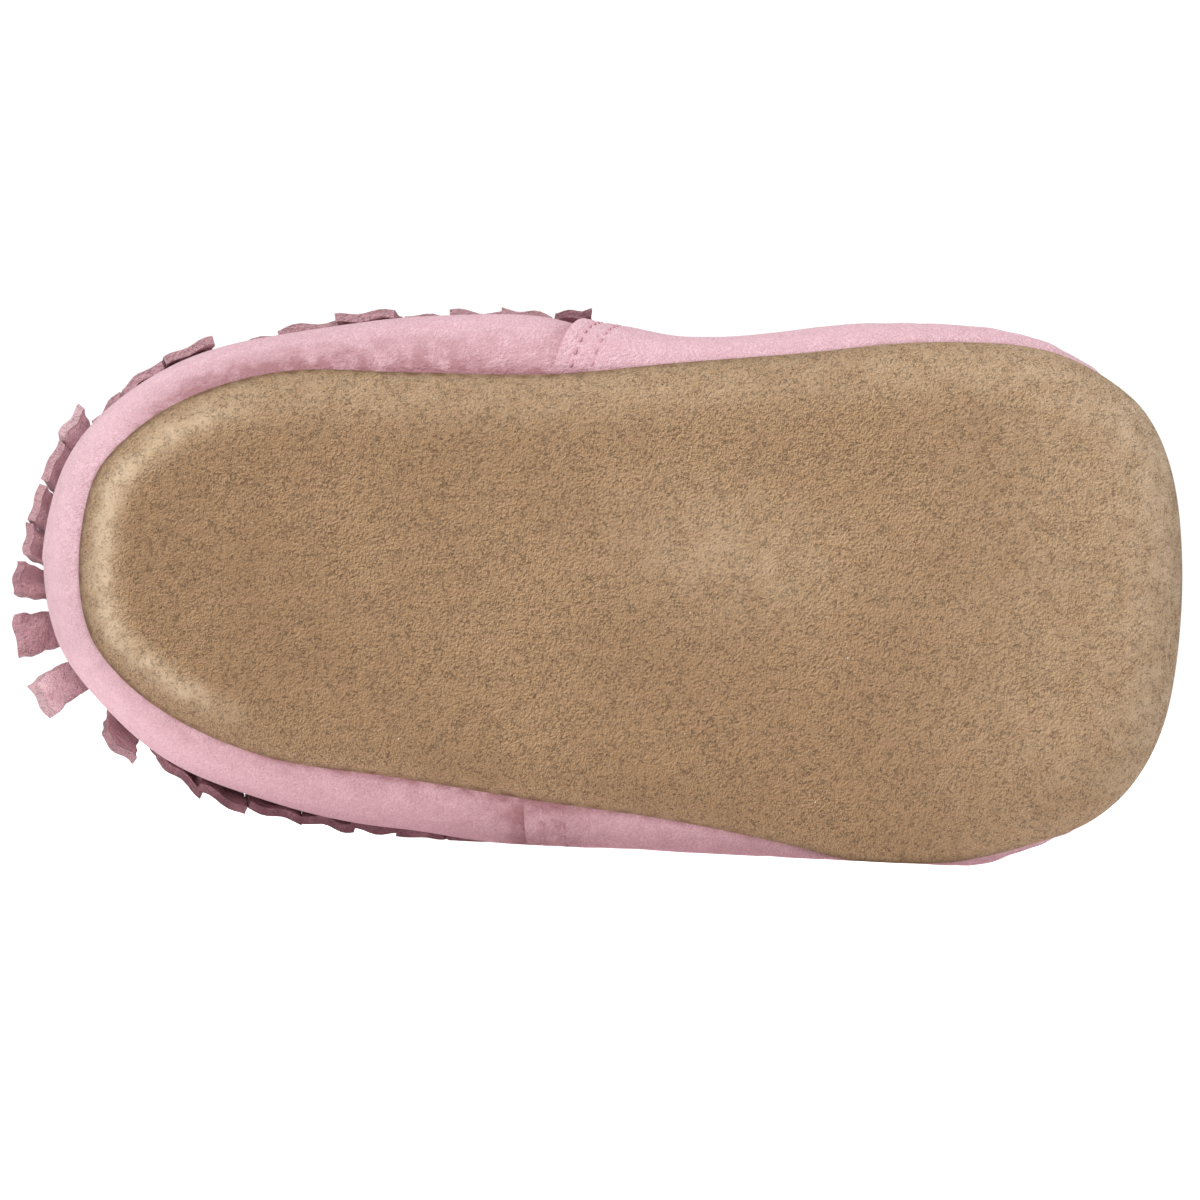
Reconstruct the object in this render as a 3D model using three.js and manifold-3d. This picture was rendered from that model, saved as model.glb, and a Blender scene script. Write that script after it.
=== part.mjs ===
// A left soft-sole baby shoe with a fringe round its heel, lying on its outer side.
//
// Millimetres. While it is shaped, +X runs from heel to toe, +Y is the height above
// the sole and +Z points to the big-toe side, so that the floor is on the -Z side.
// The finished parts are turned about Y until the floor they lie on is level.

import * as THREE from 'three';
import { mergeVertices } from 'three/addons/utils/BufferGeometryUtils.js';
import Module from 'manifold-3d';

// Sizes of the foot that the shoe is made for
const SOLE_LENGTH = 122;
const BALL_WIDTH = 57.4;
const HEEL_HEIGHT = 49;
const QUARTER_HEIGHT = 43;
const INSTEP_HEIGHT = 46.5;

// The opening, seen from above
const COLLAR_START = 4;
const THROAT_END = 62;
const COLLAR_WIDTH = 46;

// Materials and clearances
const SOLE_THICKNESS = 1.6;
const INSOLE_THICKNESS = 1.5;
const WALL = 1.4;
const LAP_LIFT = 0.9;
const FRINGE_THICKNESS = 0.9;
const CLEARANCE = 0.3;
const SEAM_SETBACK = 0.6;

// How much the side's top bulge keeps to the outline's own outward direction
const STEADY = 0.2;

// The front piece laps over the heel piece from these shares of the sole length. The
// laps lean forward as they rise: shares of the half turn, fading within the reach.
const LAP_MEDIAL_SHARE = 0.42;
const LAP_LATERAL_SHARE = 0.408;
const LEAN_MEDIAL_SHARE = 0.07;
const LEAN_LATERAL_SHARE = 0.035;
const LEAN_REACH = 0.3;
const LAP_HOLD_SHARE = 0.015;
const LAP_FADE_SHARE = 0.05;
const LAP_FOOT_SHARE = 0.16;
const LAP_EDGE_SHARE = 0.0022;

// Fringe: a header strip along the collar, cut into strips below
const STRIP_FILL_SHARE = 0.82;
const HEADER_SHARE = 0.2;
const FRINGE_DROP_SHARE = 0.5;
const FRINGE_TOP_SHARE = 0.985;
const FRINGE_INSET_SHARE = 0.004;
const BEND_FROM_SHARE = 0.5;

// The floor beside the outer side: its distance from the middle of the sole at the ball,
// the slope of the shoe along it, and how softly the leather is pressed flat against it
const FLOOR_SIDE = 30.5;
const FLOOR_AT_SHARE = 0.73;
const FLOOR_SLOPE = THREE.MathUtils.degToRad(0.9);
const FLOOR_SOFTNESS = 0.6;

// Steps of the meshes
const RING_STEPS = 84;
const WALL_STEPS = 11;
const EDGE_STEPS = 4;
const STRIP_STEPS = 9;
const HEADER_STEPS = 40;

// Edge of the sole, from heel to toe: half widths as shares of half the ball width,
// height of the seam and width of the turned-up edge as shares of the ball width
const SOLE_EDGE = [
  { along: 0.0, medial: 0.0, lateral: 0.0, rise: 0.075, turn: 0.085 },
  { along: 0.01, medial: 0.3, lateral: 0.262, rise: 0.075, turn: 0.085 },
  { along: 0.04, medial: 0.478, lateral: 0.44, rise: 0.076, turn: 0.088 },
  { along: 0.09, medial: 0.63, lateral: 0.594, rise: 0.078, turn: 0.092 },
  { along: 0.18, medial: 0.752, lateral: 0.738, rise: 0.08, turn: 0.1 },
  { along: 0.3, medial: 0.764, lateral: 0.8, rise: 0.082, turn: 0.105 },
  { along: 0.42, medial: 0.774, lateral: 0.868, rise: 0.084, turn: 0.11 },
  { along: 0.54, medial: 0.836, lateral: 0.925, rise: 0.086, turn: 0.115 },
  { along: 0.66, medial: 0.893, lateral: 1.015, rise: 0.088, turn: 0.12 },
  { along: 0.73, medial: 0.934, lateral: 1.082, rise: 0.09, turn: 0.125 },
  { along: 0.79, medial: 0.949, lateral: 1.06, rise: 0.095, turn: 0.13 },
  { along: 0.87, medial: 0.927, lateral: 0.976, rise: 0.105, turn: 0.135 },
  { along: 0.93, medial: 0.815, lateral: 0.861, rise: 0.115, turn: 0.14 },
  { along: 0.965, medial: 0.68, lateral: 0.705, rise: 0.12, turn: 0.14 },
  { along: 0.99, medial: 0.43, lateral: 0.45, rise: 0.125, turn: 0.14 },
  { along: 1.0, medial: 0.0, lateral: 0.0, rise: 0.125, turn: 0.14 },
];

// Side of the upper, from heel to toe. Shares of the ball width: how far it first swells
// out and up from the seam, and how far it stands out and hangs below its top edge.
// The last column is the share of the half turn round the opening where it ends.
const UPPER_SIDE = [
  { along: 0.0, medial: 0.16, lateral: 0.16, belly: 0.14, over: 0.12, fall: 0.28, turn: 0.0 },
  { along: 0.06, medial: 0.15, lateral: 0.135, belly: 0.13, over: 0.12, fall: 0.28, turn: 0.175 },
  { along: 0.18, medial: 0.145, lateral: 0.17, belly: 0.11, over: 0.07, fall: 0.27, turn: 0.44 },
  { along: 0.3, medial: 0.215, lateral: 0.21, belly: 0.1, over: 0.1, fall: 0.26, turn: 0.61 },
  { along: 0.42, medial: 0.26, lateral: 0.245, belly: 0.11, over: 0.15, fall: 0.22, turn: 0.76 },
  { along: 0.48, medial: 0.185, lateral: 0.22, belly: 0.12, over: 0.2, fall: 0.18, turn: 0.81 },
  { along: 0.54, medial: 0.142, lateral: 0.195, belly: 0.13, over: 0.26, fall: 0.13, turn: 0.845 },
  { along: 0.73, medial: 0.145, lateral: 0.15, belly: 0.16, over: 0.38, fall: 0.09, turn: 0.89 },
  { along: 0.87, medial: 0.12, lateral: 0.1, belly: 0.19, over: 0.52, fall: 0.11, turn: 0.94 },
  { along: 0.95, medial: 0.06, lateral: 0.05, belly: 0.22, over: 0.6, fall: 0.14, turn: 0.97 },
  { along: 1.0, medial: 0.04, lateral: 0.04, belly: 0.23, over: 0.64, fall: 0.15, turn: 1.0 },
];

// Strips of the fringe, from the outer lap round the heel to the inner lap: how far the
// tip stands off the upper (share of the ball width), how much more it does so on the far
// edge (share of that), how far it swings round the heel (share of the fringe) and the
// share of the wall's rise that it hangs down to
const STRIPS = [
  { reach: 0.04, twist: 0, swing: 0, tip: 0.54 },
  { reach: 0.03, twist: 0, swing: 0, tip: 0.54 },
  { reach: 0.01, twist: 0, swing: -0.004, tip: 0.54 },
  { reach: 0.004, twist: 0, swing: -0.01, tip: 0.54 },
  { reach: 0.007, twist: 0, swing: -0.016, tip: 0.54 },
  { reach: 0.01, twist: 0, swing: -0.02, tip: 0.54 },
  { reach: 0.017, twist: -0.4, swing: -0.026, tip: 0.54 },
  { reach: 0.012, twist: -1, swing: -0.034, tip: 0.57 },
  { reach: 0.033, twist: 0, swing: -0.024, tip: 0.55 },
  { reach: 0.089, twist: 0, swing: 0.012, tip: 0.55 },
  { reach: 0.073, twist: -0.1, swing: 0.024, tip: 0.55 },
  { reach: 0.054, twist: -0.1, swing: 0.034, tip: 0.55 },
  { reach: 0.035, twist: 0, swing: 0.034, tip: 0.55 },
  { reach: 0.032, twist: 0, swing: 0.03, tip: 0.55 },
  { reach: 0.033, twist: 0, swing: 0.028, tip: 0.55 },
  { reach: 0.042, twist: 0, swing: 0.024, tip: 0.55 },
  { reach: 0.002, twist: 1, swing: 0.018, tip: 0.55 },
  { reach: 0, twist: 0, swing: 0.018, tip: 0.5 },
  { reach: 0.006, twist: 0.4, swing: 0.018, tip: 0.5 },
  { reach: 0, twist: 0, swing: 0.012, tip: 0.68 },
  { reach: 0, twist: 0, swing: 0.01, tip: 0.6 },
  { reach: 0.002, twist: 0, swing: 0.01, tip: 0.52 },
  { reach: 0, twist: 0, swing: 0.008, tip: 0.6 },
  { reach: 0.002, twist: 0, swing: 0.004, tip: 0.54 },
  { reach: 0.003, twist: 0, swing: 0.002, tip: 0.5 },
  { reach: 0.026, twist: 0.6, swing: 0, tip: 0.5 },
];

const NUDGE = 0.002;

// Place on the loop round the sole: 0 at the heel, 1 at the toe, rising along the
// big-toe side and going on from 1 to 2 back along the outer side
const medialPlace = (along) => Math.acos(1 - 2 * along) / Math.PI;
const lateralPlace = (along) => 2 - medialPlace(along);
const alongOf = (place) => (1 - Math.cos(Math.PI * place)) / 2;

// Smooth curve through knots (x, y) with slopes taken from their neighbours
function curveThrough(knots, period) {
  const count = knots.length;
  const knot = (i) => {
    const lap = Math.floor(i / count);
    const [x, y] = knots[i - lap * count];
    return [x + lap * period, y];
  };
  const secant = (i) => (knot(i + 1)[1] - knot(i)[1]) / (knot(i + 1)[0] - knot(i)[0]);
  const slope = (i) => {
    const before = knot(i)[0] - knot(i - 1)[0];
    const after = knot(i + 1)[0] - knot(i)[0];
    return (after * secant(i - 1) + before * secant(i)) / (before + after);
  };
  return (value) => {
    const x = THREE.MathUtils.euclideanModulo(value, period);
    let i = count - 1;
    while (i > 0 && knots[i][0] > x) i -= 1;
    const [x0, y0] = knot(i);
    const [x1, y1] = knot(i + 1);
    const span = x1 - x0;
    const s = (x - x0) / span;
    const rest = 1 - s;
    return y0 * (1 + 2 * s) * rest * rest + slope(i) * span * s * rest * rest
      + y1 * s * s * (3 - 2 * s) - slope(i + 1) * span * s * s * rest;
  };
}

// A column of a heel-to-toe table as a smooth function of the place on the loop
function loopColumn(rows, medial, lateral) {
  const out = rows.map((row) => [medialPlace(row.along), medial(row)]);
  const back = rows.slice(1, -1).reverse();
  return curveThrough([...out, ...back.map((row) => [lateralPlace(row.along), lateral(row)])], 2);
}

const sameBothSides = (rows, name) => loopColumn(rows, (row) => row[name], (row) => row[name]);

const sideShare = loopColumn(SOLE_EDGE, (row) => row.medial, (row) => -row.lateral);
const seamRise = sameBothSides(SOLE_EDGE, 'rise');
const edgeTurn = sameBothSides(SOLE_EDGE, 'turn');
const swell = loopColumn(UPPER_SIDE, (row) => row.medial, (row) => row.lateral);
const belly = sameBothSides(UPPER_SIDE, 'belly');
const over = sameBothSides(UPPER_SIDE, 'over');
const fall = sameBothSides(UPPER_SIDE, 'fall');
const collarTurn = loopColumn(UPPER_SIDE, (row) => row.turn, (row) => row.turn);

// Press a point flat against the floor, leaving room for what lies between
function settle(point, room) {
  const floor = FLOOR_SIDE + (point.x - FLOOR_AT_SHARE * SOLE_LENGTH) * Math.tan(FLOOR_SLOPE) - room;
  const above = point.z + floor;
  if (above >= FLOOR_SOFTNESS) return point;
  const squeezed = Math.max(above + FLOOR_SOFTNESS, 0) ** 2 / (4 * FLOOR_SOFTNESS);
  return new THREE.Vector3(point.x, point.y, squeezed - floor);
}

// Outline of the sole and the level direction that points out of it
function edgePoint(place) {
  return new THREE.Vector3(SOLE_LENGTH * alongOf(place), 0, sideShare(place) * BALL_WIDTH / 2);
}

function outward(place) {
  const run = edgePoint(place + NUDGE).sub(edgePoint(place - NUDGE)).normalize();
  return new THREE.Vector3(-run.z, 0, run.x);
}

// Edge of the opening, by share of the half turn from the heel to the throat
function collarPoint(place) {
  const angle = Math.PI * collarTurn(place);
  const middle = (COLLAR_START + THROAT_END) / 2;
  const heelward = Math.cos(angle);
  const side = Math.sign(sideShare(place)) * COLLAR_WIDTH / 2 * Math.sin(angle);
  const height = QUARTER_HEIGHT
    + (HEEL_HEIGHT - QUARTER_HEIGHT) * Math.max(heelward, 0) ** 2
    + (INSTEP_HEIGHT - QUARTER_HEIGHT) * Math.max(-heelward, 0) ** 2;
  return new THREE.Vector3(middle - (THROAT_END - middle) * heelward, height, side);
}

// Columns of the wall lean forward beside the laps. Lap and fringe need room between
// the wall and the floor.
const heelPlace = (place) => (place > 1 ? place - 2 : place);
const lapPlaces = [lateralPlace(LAP_LATERAL_SHARE) - 2, medialPlace(LAP_MEDIAL_SHARE)];

function leaned(place, rise) {
  const here = heelPlace(place);
  const near = (lap) => {
    const gone = Math.min(Math.abs(here - lap) / LEAN_REACH, 1);
    return (1 + Math.cos(Math.PI * gone)) / 2;
  };
  const forward = LEAN_MEDIAL_SHARE * near(lapPlaces[1]);
  const backward = LEAN_LATERAL_SHARE * near(lapPlaces[0]);
  return place + rise * (forward - backward);
}

function lapLift(place, rise) {
  const here = heelPlace(place);
  const past = here > 0 ? here - lapPlaces[1] : lapPlaces[0] - here;
  if (past <= 0) return 0;
  const fade = 1 - THREE.MathUtils.smoothstep(past, LAP_HOLD_SHARE, LAP_HOLD_SHARE + LAP_FADE_SHARE);
  return LAP_LIFT * fade * THREE.MathUtils.smoothstep(rise, 0, LAP_FOOT_SHARE);
}

function fringeRoom(place, rise) {
  const here = heelPlace(place);
  if (here < lapPlaces[0] || here > lapPlaces[1]) return 0;
  const below = FRINGE_DROP_SHARE - LAP_FOOT_SHARE;
  return (FRINGE_THICKNESS + CLEARANCE) * THREE.MathUtils.smoothstep(rise, below, FRINGE_DROP_SHARE);
}

// Upper's outer face without the lap: from the seam (rise 0) to the opening (rise 1)
function wallPoint(place, rise) {
  const at = leaned(place, rise);
  const out = outward(at);
  const seam = edgePoint(at).addScaledVector(out, -SEAM_SETBACK);
  seam.y = seamRise(at) * BALL_WIDTH + CLEARANCE;
  const top = collarPoint(at);
  const lean = seam.clone().sub(top).setY(0).addScaledVector(out, STEADY * BALL_WIDTH).normalize();
  const low = seam.clone().addScaledVector(out, swell(at) * BALL_WIDTH);
  low.y += belly(at) * BALL_WIDTH;
  const high = top.clone().addScaledVector(lean, over(at) * BALL_WIDTH);
  high.y -= fall(at) * BALL_WIDTH;
  const side = new THREE.CubicBezierCurve3(seam, low, high, top);
  return settle(side.getPoint(rise), lapLift(place, rise) + fringeRoom(place, rise));
}

function wallNormal(place, rise) {
  const up = wallPoint(place, rise + NUDGE).sub(wallPoint(place, rise - NUDGE));
  const round = wallPoint(place + NUDGE, rise).sub(wallPoint(place - NUDGE, rise));
  return round.cross(up).normalize();
}

const offWall = (place, rise, distance) => (
  wallPoint(place, rise).addScaledVector(wallNormal(place, rise), distance)
);

// Solid with a skin over rings of points. Rings that do not close on themselves are
// capped at both ends by a fan about their middle.
function skinRings(rings, closed) {
  const size = rings[0].length;
  const positions = rings.flat().flatMap((point) => point.toArray());
  const faces = [];
  const bands = closed ? rings.length : rings.length - 1;
  for (let r = 0; r < bands; r += 1) {
    const near = r * size;
    const far = ((r + 1) % rings.length) * size;
    for (let i = 0; i < size; i += 1) {
      const j = (i + 1) % size;
      faces.push(near + i, far + i, far + j, near + i, far + j, near + j);
    }
  }
  if (!closed) {
    [0, rings.length - 1].forEach((r) => {
      const middle = new THREE.Vector3();
      rings[r].forEach((point) => middle.addScaledVector(point, 1 / size));
      const hub = positions.length / 3;
      positions.push(...middle.toArray());
      for (let i = 0; i < size; i += 1) {
        const rim = [r * size + i, r * size + (i + 1) % size];
        if (r > 0) rim.reverse();
        faces.push(hub, ...rim);
      }
    });
  }
  const geometry = new THREE.BufferGeometry();
  geometry.setAttribute('position', new THREE.Float32BufferAttribute(positions, 3));
  geometry.setIndex(signedVolume(positions, faces) < 0 ? faces.reverse() : faces);
  return geometry;
}

function signedVolume(positions, faces) {
  const corner = (k) => new THREE.Vector3().fromArray(positions, 3 * faces[k]);
  let sum = 0;
  for (let k = 0; k < faces.length; k += 3) {
    sum += corner(k).dot(corner(k + 1).cross(corner(k + 2)));
  }
  return sum;
}

// Places of the columns, with a close pair where each lap steps up
function ringPlaces() {
  const even = Array.from({ length: RING_STEPS }, (_, i) => 2 * i / RING_STEPS);
  const [outer, inner] = [2 + lapPlaces[0], lapPlaces[1]];
  const laps = [inner, inner + LAP_EDGE_SHARE, outer - LAP_EDGE_SHARE, outer];
  const clear = even.filter((place) => laps.every((lap) => Math.abs(place - lap) > 3 * LAP_EDGE_SHARE));
  return [...clear, ...laps].sort((a, b) => a - b);
}

// Turned-up edge of the sole: a quarter oval from the flat (sweep 0) to the seam (sweep 1)
function soleRing(places, sweep, depth) {
  return places.map((place) => {
    const angle = sweep * Math.PI / 2;
    const rise = seamRise(place) * BALL_WIDTH;
    const turn = edgeTurn(place) * BALL_WIDTH;
    const across = turn - (turn - depth) * Math.sin(angle);
    const point = edgePoint(place).addScaledVector(outward(place), -across);
    point.y = rise - (rise - depth) * Math.cos(angle);
    return settle(point, depth);
  });
}

function makeSole(places) {
  const sweeps = Array.from({ length: EDGE_STEPS + 1 }, (_, i) => i / EDGE_STEPS);
  const under = sweeps.map((sweep) => soleRing(places, sweep, 0));
  const inside = sweeps.map((sweep) => soleRing(places, sweep, SOLE_THICKNESS));
  return skinRings([...under, ...inside.reverse()], false);
}

// Insole: lies on the sole and keeps clear of its turned-up edge
function insoleRing(places, height) {
  return places.map((place) => {
    const rise = seamRise(place) * BALL_WIDTH;
    const turn = edgeTurn(place) * BALL_WIDTH;
    const level = (rise - height) / (rise - SOLE_THICKNESS);
    const reach = (turn - SOLE_THICKNESS) * Math.sqrt(Math.max(1 - level * level, 0));
    const inset = turn - reach + 2 * CLEARANCE;
    const point = edgePoint(place).addScaledVector(outward(place), -inset);
    point.y = height;
    return settle(point, SOLE_THICKNESS + CLEARANCE);
  });
}

function makeInsole(places) {
  const bottom = SOLE_THICKNESS + CLEARANCE;
  return skinRings([insoleRing(places, bottom), insoleRing(places, bottom + INSOLE_THICKNESS)], false);
}

// Upper: one hollow wall whose outer face steps up where the front piece laps over
function makeUpper(places) {
  const rises = Array.from({ length: WALL_STEPS + 1 }, (_, i) => i / WALL_STEPS);
  const outer = rises.map((rise) => (
    places.map((place) => offWall(place, rise, lapLift(place, rise)))
  ));
  const inner = rises.map((rise) => places.map((place) => offWall(place, rise, -WALL)));
  return skinRings([...outer, ...inner.reverse()], true);
}

// Point of the fringe: drop 0 at the collar, 1 at the tips, and the depth into it. The
// side runs from -1 to 1 across a strip.
const header = { reach: 0, twist: 0, swing: 0, tip: FRINGE_DROP_SHARE };

function fringePoint(strip, at, side, drop, depth) {
  const [first, last] = [lapPlaces[0] + FRINGE_INSET_SHARE, lapPlaces[1] - FRINGE_INSET_SHARE];
  const place = THREE.MathUtils.lerp(first, last, at + strip.swing * drop * drop);
  const rise = THREE.MathUtils.lerp(FRINGE_TOP_SHARE, strip.tip, drop);
  const bend = Math.max((drop - BEND_FROM_SHARE) / (1 - BEND_FROM_SHARE), 0) ** 2;
  const reach = strip.reach * (1 + strip.twist * side) * BALL_WIDTH * bend;
  const point = offWall(place, rise, CLEARANCE + FRINGE_THICKNESS - depth);
  point.addScaledVector(outward(leaned(place, rise)), reach);
  return settle(point, depth);
}

function makeHeader() {
  const ats = Array.from({ length: HEADER_STEPS + 1 }, (_, i) => i / HEADER_STEPS);
  const drops = [0, HEADER_SHARE / 2, HEADER_SHARE];
  return skinRings(ats.map((at) => [
    ...drops.map((drop) => fringePoint(header, at, 0, drop, 0)),
    ...drops.toReversed().map((drop) => fringePoint(header, at, 0, drop, FRINGE_THICKNESS)),
  ]), false);
}

function makeStrip(strip, index) {
  const half = STRIP_FILL_SHARE / 2;
  const edge = (side) => (index + 1 / 2 + side * half) / STRIPS.length;
  return skinRings(Array.from({ length: STRIP_STEPS + 1 }, (_, k) => {
    const drop = THREE.MathUtils.lerp(HEADER_SHARE / 2, 1, k / STRIP_STEPS);
    return [
      fringePoint(strip, edge(-1), -1, drop, 0),
      fringePoint(strip, edge(1), 1, drop, 0),
      fringePoint(strip, edge(1), 1, drop, FRINGE_THICKNESS),
      fringePoint(strip, edge(-1), -1, drop, FRINGE_THICKNESS),
    ];
  }), false);
}

const wasm = await Module();
wasm.setup();

function toManifold(geometry) {
  const clean = mergeVertices(geometry);
  return new wasm.Manifold(new wasm.Mesh({
    numProp: 3,
    vertProperties: new Float32Array(clean.attributes.position.array),
    triVerts: new Uint32Array(clean.index.array),
  }));
}

function fromManifold(solid) {
  const mesh = solid.getMesh();
  const geometry = new THREE.BufferGeometry();
  geometry.setAttribute('position', new THREE.BufferAttribute(mesh.vertProperties, 3));
  geometry.setIndex(new THREE.BufferAttribute(mesh.triVerts, 1));
  return geometry;
}

function makeFringe() {
  const strips = STRIPS.map((strip, index) => toManifold(makeStrip(strip, index)));
  return fromManifold(strips.reduce((fringe, strip) => fringe.add(strip), toManifold(makeHeader())));
}

function leather(geometry, name, colour, roughness) {
  geometry.computeVertexNormals();
  const material = new THREE.MeshStandardMaterial({ color: colour, roughness, metalness: 0 });
  const mesh = new THREE.Mesh(geometry, material);
  mesh.name = name;
  return mesh;
}

const places = ringPlaces();
const shoe = new THREE.Group();
shoe.name = 'baby_soft_sole_shoe';
shoe.add(
  leather(makeSole(places), 'outsole', 0xaa8b6c, 0.95),
  leather(makeInsole(places), 'insole', 0xd8b9a8, 0.9),
  leather(makeUpper(places), 'upper', 0xdcb0ba, 0.9),
  leather(makeFringe(), 'heel_fringe', 0xb58a92, 0.92),
);

// Turn the shoe until its floor is level and stand it on the middle of its box
shoe.children.forEach((mesh) => mesh.geometry.rotateY(-FLOOR_SLOPE));
const box = new THREE.Box3().setFromObject(shoe);
const middle = box.getCenter(new THREE.Vector3());
shoe.children.forEach((mesh) => mesh.geometry.translate(-middle.x, -middle.y, -box.min.z));

export default shoe;
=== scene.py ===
"""Dresses the left soft-sole baby shoe: napped suede, lap stitches, a cut fringe.

The shapes are worked out in the shoe's own sizes, in millimetres: along the foot from
heel to toe, up from the sole, and across towards the big toe. They are then turned onto
the floor that the shoe lies on.
"""

import logging
import math
from dataclasses import dataclass, field
from enum import Enum

import bpy
import numpy as np
from mathutils import Matrix, Vector


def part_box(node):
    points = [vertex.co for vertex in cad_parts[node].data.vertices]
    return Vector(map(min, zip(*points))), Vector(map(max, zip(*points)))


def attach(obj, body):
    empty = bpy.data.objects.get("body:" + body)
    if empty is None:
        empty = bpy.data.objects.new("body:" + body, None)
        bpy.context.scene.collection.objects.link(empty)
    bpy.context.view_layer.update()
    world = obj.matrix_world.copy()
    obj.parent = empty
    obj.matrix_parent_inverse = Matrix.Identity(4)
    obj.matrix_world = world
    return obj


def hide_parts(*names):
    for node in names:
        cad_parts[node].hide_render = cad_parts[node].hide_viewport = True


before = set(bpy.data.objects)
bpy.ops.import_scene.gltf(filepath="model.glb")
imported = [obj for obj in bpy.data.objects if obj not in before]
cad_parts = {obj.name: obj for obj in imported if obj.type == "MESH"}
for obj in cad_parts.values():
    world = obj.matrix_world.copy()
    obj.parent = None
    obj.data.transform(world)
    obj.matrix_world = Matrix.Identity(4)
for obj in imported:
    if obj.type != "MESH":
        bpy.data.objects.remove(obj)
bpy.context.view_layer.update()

LOG = logging.getLogger("baby_shoe")
MM = 0.001
Points = np.ndarray


class Side(Enum):
    """Side of the foot: towards the big toe, or towards the little toe.

    The value is the way in which places on the loop run forward from the heel there.
    """

    MEDIAL = 1
    LATERAL = -1


def linear(red: int, green: int, blue: int) -> tuple[float, float, float, float]:
    """Turns a screen colour into the scene's linear colour.

    Args:
        red: Red from 0 to 255.
        green: Green from 0 to 255.
        blue: Blue from 0 to 255.

    Returns:
        Linear red, green, blue and an alpha of one.
    """
    def channel(value: int) -> float:
        """Undoes the screen curve of one channel."""
        share = value / 255
        return share / 12.92 if share <= 0.04045 else ((share + 0.055) / 1.055) ** 2.4

    return channel(red), channel(green), channel(blue), 1.0


def smooth_step(value: Points, low: float, high: float) -> Points:
    """Runs smoothly from nought to one.

    Args:
        value: Where the ramp is read.
        low: Where it is nought, which may be above high.
        high: Where it is one.

    Returns:
        The ramp's height.
    """
    share = np.clip((np.asarray(value, float) - low) / (high - low), 0, 1)
    return share * share * (3 - 2 * share)


@dataclass(frozen=True)
class Ramp:
    """A mask that runs smoothly from nought to its full strength.

    Attributes:
        start: Where it is nought, which may be above full.
        full: Where it is full.
        strength: Its full strength.
    """

    start: float
    full: float
    strength: float = 1.0

    def __call__(self, value: Points) -> Points:
        """Strength of the mask at the given values."""
        return smooth_step(value, self.start, self.full) * self.strength


@dataclass(frozen=True)
class Hump:
    """A mask that is full at one value and fades softly on both sides.

    Attributes:
        middle: Where it is full.
        width: How far from there it has faded to about a third.
        strength: Its full strength.
    """

    middle: float
    width: float
    strength: float = 1.0

    def __call__(self, value: Points) -> Points:
        """Strength of the mask at the given values."""
        off = (np.asarray(value, float) - self.middle) / self.width
        return np.exp(-off**2) * self.strength


def medial_place(along: float) -> float:
    """Place on the loop round the sole, on the big-toe side, for a share of its length."""
    return math.acos(1 - 2 * along) / math.pi


def lateral_place(along: float) -> float:
    """Place on the loop round the sole, on the outer side, for a share of its length."""
    return 2 - medial_place(along)


class LoopCurve:
    """Smooth closed curve of one value round the sole, through the rows of a table."""

    def __init__(self, rows: tuple, medial: int, lateral: int, mirror: float = 1.0) -> None:
        """Threads the curve through a heel-to-toe table.

        Args:
            rows: Rows whose first entry is the share of the sole length.
            medial: Column for the big-toe side.
            lateral: Column for the outer side.
            mirror: Factor on the outer side's values.
        """
        out = [(medial_place(row[0]), row[medial]) for row in rows]
        back = [(lateral_place(row[0]), mirror * row[lateral]) for row in rows[-2:0:-1]]
        knots = np.array(out + back)
        self.x = np.concatenate([knots[-1:, 0] - 2, knots[:, 0], knots[:2, 0] + 2])
        self.y = np.concatenate([knots[-1:, 1], knots[:, 1], knots[:2, 1]])
        step = np.diff(self.x)
        secant = np.diff(self.y) / step
        self.slope = (step[1:] * secant[:-1] + step[:-1] * secant[1:]) / (step[1:] + step[:-1])

    def __call__(self, place: Points) -> Points:
        """Reads the curve.

        Args:
            place: Places on the loop round the sole.

        Returns:
            The curve's values there.
        """
        x = np.mod(place, 2.0)
        i = np.clip(np.searchsorted(self.x, x, side="right") - 1, 1, len(self.x) - 3)
        span = self.x[i + 1] - self.x[i]
        s = (x - self.x[i]) / span
        rest = 1 - s
        return (self.y[i] * (1 + 2 * s) * rest**2 + self.slope[i - 1] * span * s * rest**2
                + self.y[i + 1] * s**2 * (3 - 2 * s) - self.slope[i] * span * s**2 * rest)


# How far in front of the lap's edge its two rows of stitches run
STITCH_ROWS = (0.0105, 0.0225)

# Share of the sole length, half widths (shares of half the ball width), height of the seam
# and width of the turned-up edge (shares of the ball width)
SOLE_EDGE = (
    (0.0, 0.0, 0.0, 0.075, 0.085), (0.01, 0.3, 0.262, 0.075, 0.085),
    (0.04, 0.478, 0.44, 0.076, 0.088), (0.09, 0.63, 0.594, 0.078, 0.092),
    (0.18, 0.752, 0.738, 0.08, 0.1), (0.3, 0.764, 0.8, 0.082, 0.105),
    (0.42, 0.774, 0.868, 0.084, 0.11), (0.54, 0.836, 0.925, 0.086, 0.115),
    (0.66, 0.893, 1.015, 0.088, 0.12), (0.73, 0.934, 1.082, 0.09, 0.125),
    (0.79, 0.949, 1.06, 0.095, 0.13), (0.87, 0.927, 0.976, 0.105, 0.135),
    (0.93, 0.815, 0.861, 0.115, 0.14), (0.965, 0.68, 0.705, 0.12, 0.14),
    (0.99, 0.43, 0.45, 0.125, 0.14), (1.0, 0.0, 0.0, 0.125, 0.14),
)

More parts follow.
